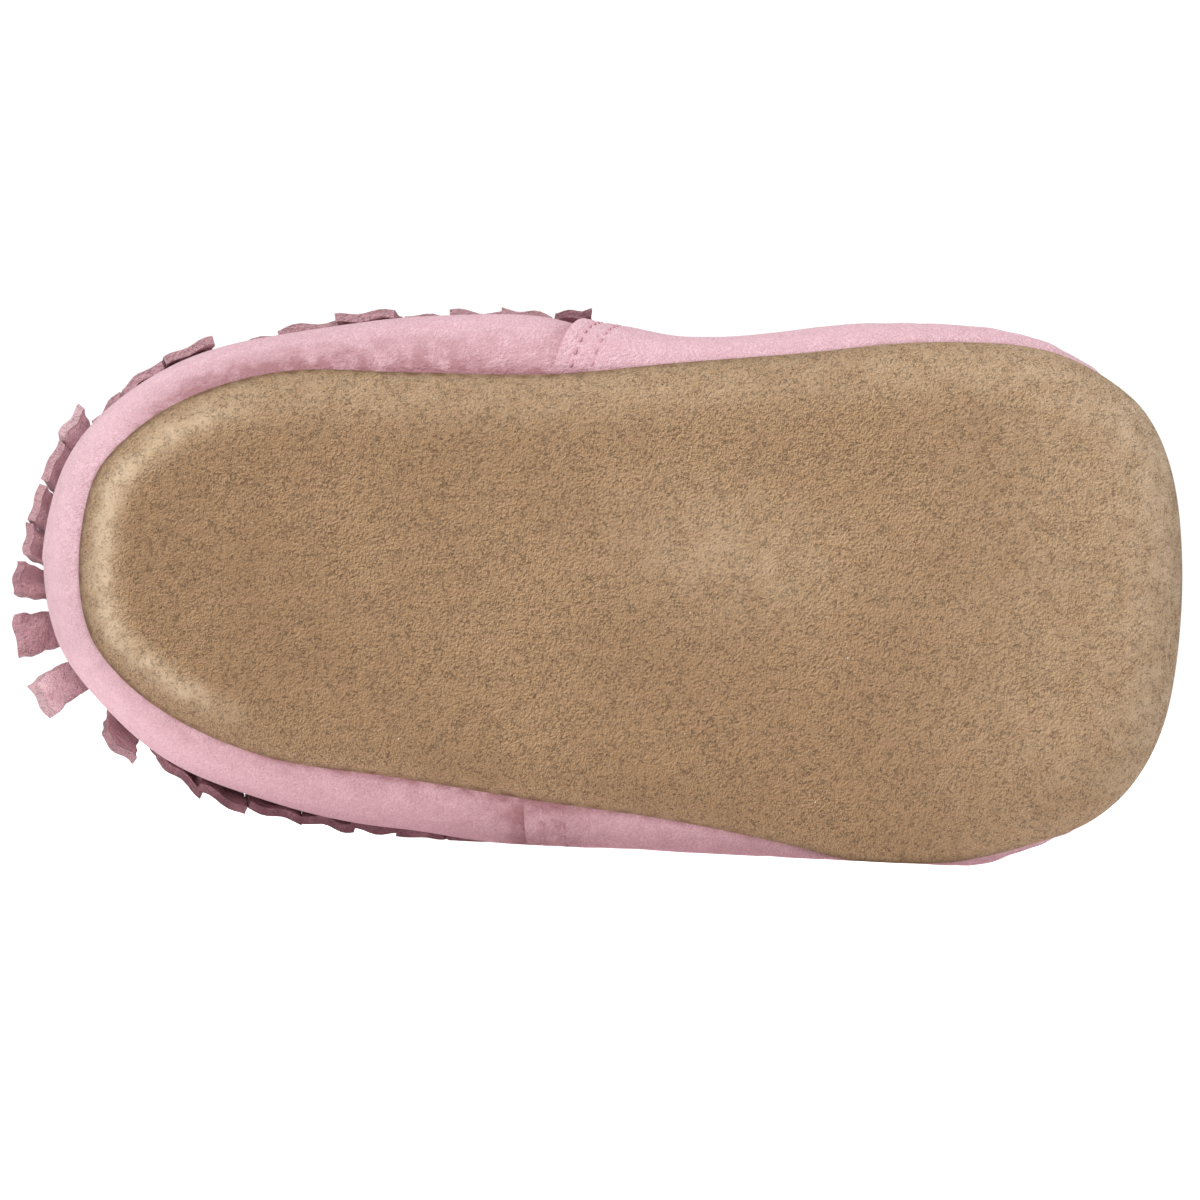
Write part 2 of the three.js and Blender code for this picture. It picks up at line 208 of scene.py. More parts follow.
# Share of the sole length, then shares of the ball width: swell of the big-toe side and of
# the outer side, belly, over and fall, and the share of the half turn round the opening
UPPER_SIDE = (
    (0.0, 0.16, 0.16, 0.14, 0.12, 0.28, 0.0), (0.06, 0.15, 0.135, 0.13, 0.12, 0.28, 0.175),
    (0.18, 0.145, 0.17, 0.11, 0.07, 0.27, 0.44), (0.3, 0.215, 0.21, 0.1, 0.1, 0.26, 0.61),
    (0.42, 0.26, 0.245, 0.11, 0.15, 0.22, 0.76), (0.48, 0.185, 0.22, 0.12, 0.2, 0.18, 0.81),
    (0.54, 0.142, 0.195, 0.13, 0.26, 0.13, 0.845), (0.73, 0.145, 0.15, 0.16, 0.38, 0.09, 0.89),
    (0.87, 0.12, 0.1, 0.19, 0.52, 0.11, 0.94), (0.95, 0.06, 0.05, 0.22, 0.6, 0.14, 0.97),
    (1.0, 0.04, 0.04, 0.23, 0.64, 0.15, 1.0),
)


@dataclass(frozen=True)
class ShoeSizes:
    """Sizes of the shoe in millimetres, as its solids have them.

    Attributes:
        sole_length: Length of the sole.
        ball_width: Width of the sole at the ball.
        heel_height: Height of the collar at the heel.
        quarter_height: Height of the collar at the sides.
        instep_height: Height of the collar at the instep.
        collar_start: Back end of the opening, from the sole's heel end.
        throat_end: Front end of the opening, from there.
        collar_width: Width of the opening.
        sole_thickness: Thickness of the sole's suede.
        insole_thickness: Thickness of the lining leather.
        wall: Thickness of the upper.
        lap_lift: How far the lap's edge stands off the heel piece.
        fringe_thickness: Thickness of the fringe's suede.
        clearance: Gap between one piece and the next.
        seam_setback: How far in from the sole's outline the upper starts.
        lap_medial: Place of the big-toe side's lap, share of the sole length.
        lap_lateral: Place of the outer side's lap, share of the sole length.
        steady: Outward lean that keeps the wall from folding in, share of the ball width.
        lap_hold: How far forward the lap keeps its lift, share of the loop.
        lap_fade: How far further it fades, share of the loop.
        lap_foot: Rise over which the lap lifts off the seam.
        lean_medial: How far the big-toe side's lap leans forward, share of the loop.
        lean_lateral: How far the outer side's lap does.
        lean_reach: How far from the laps the wall leans with them, share of the loop.
        fringe_drop: Rise of the wall that the fringe reaches down to.
        fringe_top: Rise of the wall that it starts from.
        fringe_inset: How far its ends stay from the laps, share of the loop.
        floor_side: From the sole's middle line to the floor.
        floor_at: Where that is measured, share of the sole length.
        floor_slope: Slope of the floor against the middle line.
        floor_softness: How softly a piece bends into its pressed part.
    """

    sole_length: float = 122.0
    ball_width: float = 57.4
    heel_height: float = 49.0
    quarter_height: float = 43.0
    instep_height: float = 46.5
    collar_start: float = 4.0
    throat_end: float = 62.0
    collar_width: float = 46.0
    sole_thickness: float = 1.6
    insole_thickness: float = 1.5
    wall: float = 1.4
    lap_lift: float = 0.9
    fringe_thickness: float = 0.9
    clearance: float = 0.3
    seam_setback: float = 0.6
    lap_medial: float = 0.42
    lap_lateral: float = 0.408
    steady: float = 0.2
    lap_hold: float = 0.015
    lap_fade: float = 0.05
    lap_foot: float = 0.16
    lean_medial: float = 0.07
    lean_lateral: float = 0.035
    lean_reach: float = 0.3
    fringe_drop: float = 0.5
    fringe_top: float = 0.985
    fringe_inset: float = 0.004
    floor_side: float = 30.5
    floor_at: float = 0.73
    floor_slope: float = math.radians(0.9)
    floor_softness: float = 0.6


class ShoeForm:
    """The shoe's surfaces as functions of the place round the sole and the rise."""

    nudge = 0.002
    rim_samples = 721

    def __init__(self, sizes: ShoeSizes) -> None:
        """Threads the tables' curves and finds how the solids were set on the floor.

        Args:
            sizes: Sizes of the shoe.
        """
        self.sizes = sizes
        self.side_share = LoopCurve(SOLE_EDGE, 1, 2, -1.0)
        self.seam_rise = LoopCurve(SOLE_EDGE, 3, 3)
        self.edge_turn = LoopCurve(SOLE_EDGE, 4, 4)
        self.swell = LoopCurve(UPPER_SIDE, 1, 2)
        self.belly = LoopCurve(UPPER_SIDE, 3, 3)
        self.over = LoopCurve(UPPER_SIDE, 4, 4)
        self.fall = LoopCurve(UPPER_SIDE, 5, 5)
        self.turn = LoopCurve(UPPER_SIDE, 6, 6)
        self.laps = (lateral_place(sizes.lap_lateral) - 2, medial_place(sizes.lap_medial))
        low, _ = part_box("outsole")
        around = np.linspace(0, 2, self.rim_samples)
        own = self.turned(self.sole_point(around, np.ones_like(around), 0.0))
        self.shift = np.array([low[0] / MM - own[:, 0].min(), low[1] / MM, -self.floor_level()])

    def floor_level(self) -> float:
        """Height of the floor after the turn, before the shift."""
        slope, start = self.sizes.floor_slope, self.sizes.floor_at * self.sizes.sole_length
        return start * math.sin(slope) - self.sizes.floor_side * math.cos(slope)

    def turned(self, points: Points) -> Points:
        """Turns points about the up direction of the sole until the floor is level.

        Args:
            points: Points in the shoe's own sizes.

        Returns:
            The turned points.
        """
        cos, sin = math.cos(self.sizes.floor_slope), math.sin(self.sizes.floor_slope)
        x, y, z = points[..., 0], points[..., 1], points[..., 2]
        return np.stack([x * cos - z * sin, y, x * sin + z * cos], -1)

    def placed(self, points: Points) -> Points:
        """Lays points of the shoe where the solids lie.

        Args:
            points: Points in the shoe's own sizes.

        Returns:
            The same points in metres, none of them below the floor.
        """
        laid = (self.turned(points) + self.shift) * MM
        laid[..., 2] = np.maximum(laid[..., 2], 0.0)
        return laid

    def settle(self, points: Points, room: Points) -> Points:
        """Presses points flat against the floor.

        Args:
            points: Points in the shoe's own sizes.
            room: Room that is left to the floor for what lies between.

        Returns:
            The pressed points.
        """
        s = self.sizes
        run = points[..., 0] - s.floor_at * s.sole_length
        floor = s.floor_side + run * math.tan(s.floor_slope) - room
        above = points[..., 2] + floor
        squeezed = np.maximum(above + s.floor_softness, 0) ** 2 / (4 * s.floor_softness)
        above = np.where(above >= s.floor_softness, above, squeezed)
        return np.stack([points[..., 0], points[..., 1], above - floor], -1)

    def edge(self, place: Points) -> Points:
        """Outline of the sole at the level of its underside.

        Args:
            place: Places on the loop round the sole.

        Returns:
            The outline's points.
        """
        along = self.sizes.sole_length * (1 - np.cos(np.pi * place)) / 2
        side = self.side_share(place) * self.sizes.ball_width / 2
        return np.stack([along, np.zeros_like(along), side], -1)

    def outward(self, place: Points) -> Points:
        """Level direction out of the outline.

        Args:
            place: Places on the loop round the sole.

        Returns:
            Directions of length one.
        """
        run = self.edge(place + self.nudge) - self.edge(place - self.nudge)
        run /= np.linalg.norm(run, axis=-1, keepdims=True)
        return np.stack([-run[..., 2], np.zeros_like(run[..., 0]), run[..., 0]], -1)

    def collar(self, place: Points) -> Points:
        """Edge of the opening that the wall runs up to.

        Args:
            place: Places on the loop round the sole.

        Returns:
            Points of the opening's edge.
        """
        s = self.sizes
        angle = np.pi * self.turn(place)
        heelward = np.cos(angle)
        middle = (s.collar_start + s.throat_end) / 2
        height = (s.quarter_height
                  + (s.heel_height - s.quarter_height) * np.maximum(heelward, 0) ** 2
                  + (s.instep_height - s.quarter_height) * np.maximum(-heelward, 0) ** 2)
        side = np.sign(self.side_share(place)) * s.collar_width / 2 * np.sin(angle)
        return np.stack([middle - (s.throat_end - middle) * heelward, height, side], -1)

    @staticmethod
    def signed(place: Points) -> Points:
        """Place with the heel at nought and the outer side below it."""
        return np.where(place > 1, place - 2, place)

    def leaned(self, place: Points, rise: Points) -> Points:
        """Place that a column of the wall has reached, as the laps lean while they rise.

        Args:
            place: Places where the columns start at the seam.
            rise: Rises from the seam (0) to the opening (1).

        Returns:
            The places at those rises.
        """
        s = self.sizes
        here = self.signed(place)
        near = [(1 + np.cos(np.pi * np.minimum(np.abs(here - lap) / s.lean_reach, 1))) / 2
                for lap in self.laps]
        return place + rise * (s.lean_medial * near[1] - s.lean_lateral * near[0])

    def lap_place(self, side: Side) -> float:
        """Place of the lap's edge on one side of the foot."""
        return self.laps[1] if side is Side.MEDIAL else self.laps[0]

    def past_lap(self, place: Points) -> Points:
        """How far a place lies in front of the nearer lap edge, negative behind it."""
        here = self.signed(place)
        return np.where(here > 0, here - self.laps[1], self.laps[0] - here)

    def lap_lift(self, place: Points, rise: Points) -> Points:
        """How far the front piece's lap stands off the wall.

        Args:
            place: Places on the loop round the sole.
            rise: Rises from the seam (0) to the opening (1).

        Returns:
            Lifts in millimetres, nought behind the lap's edge.
        """
        s = self.sizes
        past = self.past_lap(place)
        fade = 1 - smooth_step(past, s.lap_hold, s.lap_hold + s.lap_fade)
        lift = s.lap_lift * fade * smooth_step(rise, 0, s.lap_foot)
        return np.where(past <= 0, 0.0, lift)

    def fringe_room(self, place: Points, rise: Points) -> Points:
        """Room that the fringe needs between the wall and the floor.

        Args:
            place: Places on the loop round the sole.
            rise: Rises from the seam (0) to the opening (1).

        Returns:
            Rooms in millimetres.
        """
        s = self.sizes
        deep = smooth_step(rise, s.fringe_drop - s.lap_foot, s.fringe_drop)
        return np.where(self.past_lap(place) <= 0, (s.fringe_thickness + s.clearance) * deep, 0.0)

    def wall_point(self, place: Points, rise: Points) -> Points:
        """Upper's outer face without its lap.

        Args:
            place: Places where the wall's columns start at the seam.
            rise: Rises from the seam (0) to the opening (1).

        Returns:
            Points of the face.
        """
        s = self.sizes
        width = s.ball_width
        at = self.leaned(place, rise)
        out = self.outward(at)
        seam = self.edge(at) - out * s.seam_setback
        seam[..., 1] = self.seam_rise(at) * width + s.clearance
        top = self.collar(at)
        lean = (seam - top) * np.array([1.0, 0.0, 1.0]) + out * s.steady * width
        lean /= np.linalg.norm(lean, axis=-1, keepdims=True)
        low = seam + out * (self.swell(at) * width)[..., None]
        low[..., 1] += self.belly(at) * width
        high = top + lean * (self.over(at) * width)[..., None]
        high[..., 1] -= self.fall(at) * width
        t = rise[..., None]
        rest = 1 - t
        point = (seam * rest**3 + 3 * low * rest**2 * t + 3 * high * rest * t**2 + top * t**3)
        return self.settle(point, self.lap_lift(place, rise) + self.fringe_room(place, rise))

    def wall_normal(self, place: Points, rise: Points) -> Points:
        """Direction out of the upper's outer face.

        Args:
            place: Places where the wall's columns start at the seam.
            rise: Rises from the seam (0) to the opening (1).

        Returns:
            Directions of length one.
        """
        step = self.nudge
        up = self.wall_point(place, rise + step) - self.wall_point(place, rise - step)
        around = self.wall_point(place + step, rise) - self.wall_point(place - step, rise)
        normal = np.cross(around, up)
        return normal / np.linalg.norm(normal, axis=-1, keepdims=True)

    def off_wall(self, place: Points, rise: Points, distance: Points) -> Points:
        """Points off the upper's outer face.

        Args:
            place: Places where the wall's columns start at the seam.
            rise: Rises from the seam (0) to the opening (1).
            distance: Distance outside the face, negative inside it.

        Returns:
            The points.
        """
        lift = np.asarray(distance, float)
        lift = lift[..., None] if lift.ndim else lift
        return self.wall_point(place, rise) + self.wall_normal(place, rise) * lift

    def sole_point(self, place: Points, sweep: Points, depth: float) -> Points:
        """Turned-up edge of the sole.

        Args:
            place: Places on the loop round the sole.
            sweep: Sweeps from the sole's flat (0) to its seam (1).
            depth: Depth into the leather from its outer face.

        Returns:
            Points of the edge.
        """
        angle = sweep * np.pi / 2
        rise = self.seam_rise(place) * self.sizes.ball_width
        turn = self.edge_turn(place) * self.sizes.ball_width
        across = turn - (turn - depth) * np.sin(angle)
        point = self.edge(place) - self.outward(place) * across[..., None]
        point[..., 1] = rise - (rise - depth) * np.cos(angle)
        return self.settle(point, depth)


class Ends(Enum):
    """What becomes of the first and the last ring of a skin."""

    JOINED = "to each other"
    FANNED = "filled by a fan"
    ZIPPED = "filled side to side"


class MeshParts:
    """Collects rings of points into one mesh with smooth faces and point values."""

    def __init__(self) -> None:
        """Starts with nothing in it."""
        self.points: list[Points] = []
        self.faces: list[tuple] = []
        self.values: dict[str, list[Points]] = {}
        self.count = 0

    def add_rings(self, rings: Points, ends: Ends, **values: Points) -> None:
        """Adds a skin over rings of points, each ring closed on itself.

        Args:
            rings: Array of rings by points by three coordinates.
            ends: What becomes of the first and the last ring.
            values: Point values, each of the shape rings by points.
        """
        ring_count, size = rings.shape[:2]
        start = self.count
        self.points.append(rings.reshape(-1, 3))
        for key, value in values.items():
            self.values.setdefault(key, []).append(np.asarray(value, float).reshape(-1))
        self.count += ring_count * size
        bands = ring_count if ends is Ends.JOINED else ring_count - 1
        near, i = np.meshgrid(np.arange(bands), np.arange(size), indexing="ij")
        far, j = (near + 1) % ring_count, (i + 1) % size
        corners = [near * size + i, far * size + i, far * size + j, near * size + j]
        quads = np.stack(corners, -1).reshape(-1, 4) + start
        self.faces.extend(map(tuple, quads.tolist()))
        if ends is Ends.ZIPPED:
            self.zip_ends(start, ring_count, size)
        elif ends is Ends.FANNED:
            self.fan_ends(start, rings, values)

    def fan_ends(self, start: int, rings: Points, values: dict[str, Points]) -> None:
        """Fills the first and the last ring with a fan about its middle.

        Args:
            start: Number of the first ring's first point.
            rings: Array of rings by points by three coordinates.
            values: Point values, each of the shape rings by points.
        """
        ring_count, size = rings.shape[:2]
        for ring in (0, ring_count - 1):
            self.points.append(rings[ring].mean(0)[None])
            for key, value in values.items():
                self.values[key].append(np.array([np.asarray(value)[ring].mean()]))
            rim = [start + ring * size + k for k in range(size)]
            for k in range(size):
                pair = (rim[k], rim[(k + 1) % size])
                self.faces.append((self.count, *(pair if ring == 0 else pair[::-1])))
            self.count += 1

    def zip_ends(self, start: int, ring_count: int, size: int) -> None:
        """Fills the first and the last ring by joining each point to the one across.

        Args:
            start: Number of the first ring's first point.
            ring_count: How many rings there are.
            size: How many points each ring has.
        """
        for ring in (0, ring_count - 1):
            rim = [start + ring * size + k for k in range(size)]
            for k in range(size // 2):
                corners = (rim[k], rim[k + 1], rim[size - k - 1], rim[-k])
                face = tuple(dict.fromkeys(corners))
                self.faces.append(face if ring else face[::-1])

    def make(self, name: str, crease: float) -> bpy.types.Mesh:
        """Makes the mesh, with its faces outward.

        Args:
            name: Name of the mesh.
            crease: Angle between faces, in degrees, past which their edge stays sharp.

        Returns:
            The new mesh.
        """
        mesh = bpy.data.meshes.new(name)
        points = np.concatenate(self.points)
        faces = self.faces
        if self.volume(points) < 0:
            faces = [face[::-1] for face in faces]
        mesh.from_pydata(points.tolist(), [], faces)
        for key, parts in self.values.items():
            layer = mesh.attributes.new(key, "FLOAT", "POINT")
            layer.data.foreach_set("value", np.concatenate(parts).astype(np.float32))
        mesh.shade_smooth()
        mesh.set_sharp_from_angle(angle=math.radians(crease))
        mesh.update()
        return mesh

    def volume(self, points: Points) -> float:
        """Signed measure of what the skin holds.

        Args:
            points: All points of the skin.

        Returns:
            Six times its volume, positive where the faces look outward.
        """
        triangles = [(f[0], f[k], f[k + 1]) for f in self.faces for k in range(1, len(f) - 1)]
        a, b, c = (points[np.array(triangles)[:, k]] for k in range(3))
        return float(np.einsum("ij,ij->i", a, np.cross(b, c)).sum())


def dress(name: str, parts: MeshParts, finish: bpy.types.Material,
          replaced: tuple = (), crease: float = 50.0) -> bpy.types.Object:
    """Puts a mesh in the scene as a piece of the shoe.

    Args:
        name: Name of the piece and of its mesh.
        parts: Its skins, in metres.
        finish: Its material.
        replaced: Solids that it stands for.
        crease: Angle between faces, in degrees, past which their edge stays sharp.

    Returns:
        The new object.
    """
    piece = bpy.data.objects.new(name, parts.make(name, crease))
    piece.data.materials.append(finish)
    bpy.context.scene.collection.objects.link(piece)
    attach(piece, "root")
    if replaced:
        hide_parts(*replaced)
    return piece


class NodeBench:
    """Places and joins the nodes of one material or node group."""

    def __init__(self, tree: bpy.types.NodeTree) -> None:
        """Works on the given tree."""
        self.tree = tree

    def add(self, kind: str, **settings: object) -> bpy.types.Node:
        """Adds a node.

        Args:
            kind: Blender's name of the kind of node.
            settings: Its properties by name.

        Returns:
            The new node.
        """
        node = self.tree.nodes.new(kind)
        for key, value in settings.items():
            setattr(node, key, value)
        return node

    def join(self, source: bpy.types.NodeSocket, target: bpy.types.NodeSocket) -> None:
        """Joins one socket to another."""
        self.tree.links.new(source, target)

    def maths(self, operation: str, *inputs: object, clamp: bool = False) -> bpy.types.NodeSocket:
        """Adds a Math node.

        Args:
            operation: Blender's name of the operation.
            inputs: Sockets or numbers, in order.
            clamp: True to keep the result from nought to one.

        Returns:
            The result's socket.
        """
        node = self.add("ShaderNodeMath", operation=operation, use_clamp=clamp)
        for socket, value in zip(node.inputs, inputs):
            self.feed(socket, value)
        return node.outputs[0]

    def feed(self, socket: bpy.types.NodeSocket, value: object) -> None:
        """Gives a socket a link or a plain value.

        Args:
            socket: Input that is fed.
            value: Socket to link from, or the value.
        """
        if isinstance(value, bpy.types.NodeSocket):
            self.join(value, socket)
        else:
            socket.default_value = value

    def noise(self, scale: float, detail: float, roughness: float, where: object = None,
              distortion: float = 0.0) -> bpy.types.NodeSocket:
        """Adds a Noise Texture.

        Args:
            scale: Lumps per metre.
            detail: Octaves.
            roughness: Weight of the finer octaves.
            where: Socket of the coordinates.
            distortion: How much the lumps are twisted.

        Returns:
            The noise's value.
        """
        node = self.add("ShaderNodeTexNoise")
        self.feed(node.inputs["Scale"], scale)
        self.feed(node.inputs["Detail"], detail)
        self.feed(node.inputs["Roughness"], roughness)
        self.feed(node.inputs["Distortion"], distortion)
        if where is not None:
            self.feed(node.inputs["Vector"], where)
        return node.outputs["Fac"]

    def span(self, value: object, low: float, high: float, to_low: float = 0.0,
             to_high: float = 1.0) -> bpy.types.NodeSocket:
        """Stretches a value softly from one range to another.

        Args:
            value: Socket or number.
            low: Value that becomes to_low.
            high: Value that becomes to_high.
            to_low: Start of the new range.
            to_high: End of the new range.

        Returns:
            The result's socket, kept inside the new range.
        """
        node = self.add("ShaderNodeMapRange", interpolation_type="SMOOTHSTEP")
        for key, item in zip(("Value", "From Min", "From Max", "To Min", "To Max"),
                             (value, low, high, to_low, to_high)):
            self.feed(node.inputs[key], item)
        return node.outputs["Result"]

    def mix(self, share: object, first: object, second: object) -> bpy.types.NodeSocket:
        """Mixes two colours.

        Args:
            share: Share of the second colour, a socket or a number.
            first: First colour.
            second: Second colour.

        Returns:
            The mixed colour's socket.
        """
        node = self.add("ShaderNodeMix", data_type="RGBA")
        colours = [socket for socket in node.inputs if socket.type == "RGBA"]
        self.feed(node.inputs["Factor"], share)
        self.feed(colours[0], first)
        self.feed(colours[1], second)
        return next(socket for socket in node.outputs if socket.type == "RGBA")


@dataclass(frozen=True)
class Grain:
    """One noise of the nap.

    Attributes:
        scale: Its lumps, as a multiple of the tufts per metre.
        detail: Its octaves.
        roughness: Weight of the finer octaves.
        distortion: How much its lumps are twisted.
        low: Value that a mask made of it starts from.
        high: Value that the mask is full at.
    """

    scale: float
    detail: float
    roughness: float
    distortion: float = 0.0
    low: float = 0.0
    high: float = 1.0


TUFT = Grain(1.3, 3.0, 0.7)
SPECK = Grain(2.6, 2.0, 0.7)
CRACK = Grain(0.8, 2.0, 0.6, 0.5, 0.024, 0.004)
CRACKED_PART = Grain(0.5, 2.0, 0.6, 0.0, 0.5, 0.58)
DOT = Grain(1.1, 1.5, 0.5, 0.0, 0.37, 0.27)
FLECK = Grain(0.9, 0.0, 0.5, 0.0, 0.895, 0.925)
CLOUD = Grain(1.0, 5.0, 0.6, 0.4, 0.35, 0.65)

# Step towards the lit side, in metres, over which the tufts' painted light and shade is read
LIT_STEP = (-0.00005, 0.0, 0.00005)
SPECK_SHARE = 0.9
TONE_LIFT = 0.05
MIDDLE = 0.5
HOLLOW_DEPTH = 1.4
FLECK_COLOUR = (0.8, 0.74, 0.66, 1.0)


class NodeGroups:
    """The shader effects that several finishes share."""

    @staticmethod
    def start(name: str, inputs: tuple, outputs: tuple) -> tuple:
        """Starts a node group.

        Args:
            name: Name of the group.
            inputs: Pairs of a name and a starting number, or a colour of four numbers.
            outputs: Names of the values that it puts out.

        Returns:
            The group's tree, its bench, its input node and its output node.
        """
        tree = bpy.data.node_groups.new(name, "ShaderNodeTree")
        for label, value in inputs:
            kind = "NodeSocketColor" if isinstance(value, tuple) else "NodeSocketFloat"
            socket = tree.interface.new_socket(name=label, in_out="INPUT", socket_type=kind)
            socket.default_value = value
        for label in outputs:
            kind = "NodeSocketColor" if label == "Colour" else "NodeSocketFloat"
            tree.interface.new_socket(name=label, in_out="OUTPUT", socket_type=kind)
        bench = NodeBench(tree)
        return tree, bench, bench.add("NodeGroupInput"), bench.add("NodeGroupOutput")

    @classmethod
    def nap(cls) -> bpy.types.NodeTree:
        """Suede nap: tufts in painted light and shade, fine specks, short slits, pits, clouds.

        The painted light and shade is the difference between the tufts' height at a point and
        a step away towards the lit side. The pits and slits are sunk and darkened with painted
        shade.

        Returns:
            The group's tree.
        """
        inputs = (("Tufts per metre", 2200.0), ("Relief shading", 1.6), ("Pits", 0.5),
                  ("Clouds per metre", 90.0))
        outputs = ("Tone", "Cloud", "Pit", "Fleck", "Height")
        tree, bench, given, made = cls.start("suede_nap", inputs, outputs)
        where = bench.add("ShaderNodeTexCoord").outputs["Object"]
        moved = bench.add("ShaderNodeVectorMath", operation="ADD")
        bench.join(where, moved.inputs[0])
        moved.inputs[1].default_value = LIT_STEP
        step = moved.outputs[0]
        scale, pits = given.outputs["Tufts per metre"], given.outputs["Pits"]
        here, there = cls.read(bench, TUFT, scale, where), cls.read(bench, TUFT, scale, step)
        # Painted light and shade: tufts lighter on the side towards the lamp
        relief_shading = bench.maths("MULTIPLY", bench.maths("SUBTRACT", here, there), given.outputs["Relief shading"])
        speck = bench.maths("MULTIPLY", cls.read(bench, SPECK, scale, where), SPECK_SHARE)
        tone = bench.maths("ADD", bench.maths("ADD", relief_shading, speck), TONE_LIFT, clamp=True)
        crack = bench.maths("SUBTRACT", cls.read(bench, CRACK, scale, where), MIDDLE)
        line = bench.span(bench.maths("ABSOLUTE", crack), CRACK.low, CRACK.high)
        slit = bench.maths("MULTIPLY", line, cls.mask(bench, CRACKED_PART, scale, where))
        # Pits and slits: sunk in the bump, and darkened with painted shade through the Pit output
        hollow = bench.maths("MAXIMUM", slit, cls.mask(bench, DOT, scale, where))
        deep = bench.maths("MULTIPLY", hollow, bench.maths("MULTIPLY", pits, HOLLOW_DEPTH))
        results = {
            "Tone": tone,
            "Cloud": cls.mask(bench, CLOUD, given.outputs["Clouds per metre"], where),
            "Pit": bench.maths("MULTIPLY", hollow, pits),
            "Fleck": cls.mask(bench, FLECK, scale, step),
            "Height": bench.maths("SUBTRACT", here, deep),
        }
        for label, value in results.items():
            bench.join(value, made.inputs[label])
        return tree

    @staticmethod
    def read(bench: NodeBench, grain: Grain, scale: bpy.types.NodeSocket,
             where: bpy.types.NodeSocket) -> bpy.types.NodeSocket:
        """Adds one of the nap's noises.

        Args:
            bench: Bench of the group.
            grain: The noise.
            scale: Socket of the lumps per metre.
            where: Socket of the coordinates.

        Returns:
            The noise's value.
        """
        lumps = bench.maths("MULTIPLY", scale, grain.scale)
        return bench.noise(lumps, grain.detail, grain.roughness, where, grain.distortion)

    @classmethod
    def mask(cls, bench: NodeBench, grain: Grain, scale: bpy.types.NodeSocket,
             where: bpy.types.NodeSocket) -> bpy.types.NodeSocket:
        """Adds a noise and stretches it to a mask.

        Args:
            bench: Bench of the group.
            grain: The noise.
            scale: Socket of the lumps per metre.
            where: Socket of the coordinates.

        Returns:
            The mask's value.
        """
        return bench.span(cls.read(bench, grain, scale, where), grain.low, grain.high)

    @classmethod
    def shade(cls) -> bpy.types.NodeTree:
        """Mixes a nap's colours by its tone, clouds, pits and flecks.

        Returns:
            The group's tree.
        """
        grey = (0.5, 0.5, 0.5, 1.0)
        inputs = (("Dark", grey), ("Light", grey), ("Cloudy", grey), ("Pitted", grey),
                  ("Tone", 0.5), ("Cloud", 0.5), ("Pit", 0.0), ("Fleck", 0.0), ("Contrast", 1.0),
                  ("Cloud share", 0.5))
        tree, bench, given, made = cls.start("suede_shade", inputs, ("Colour",))
        out = given.outputs
        centred = bench.maths("MULTIPLY", bench.maths("SUBTRACT", out["Tone"], MIDDLE),
                              out["Contrast"])
        tone = bench.maths("ADD", centred, MIDDLE, clamp=True)
        body = bench.mix(tone, out["Dark"], out["Light"])
        share = bench.maths("MULTIPLY", out["Cloud"], out["Cloud share"])
        clouded = bench.mix(share, body, out["Cloudy"])
        pitted = bench.mix(out["Pit"], clouded, out["Pitted"])
        bench.join(bench.mix(out["Fleck"], pitted, FLECK_COLOUR), made.inputs["Colour"])
        return tree


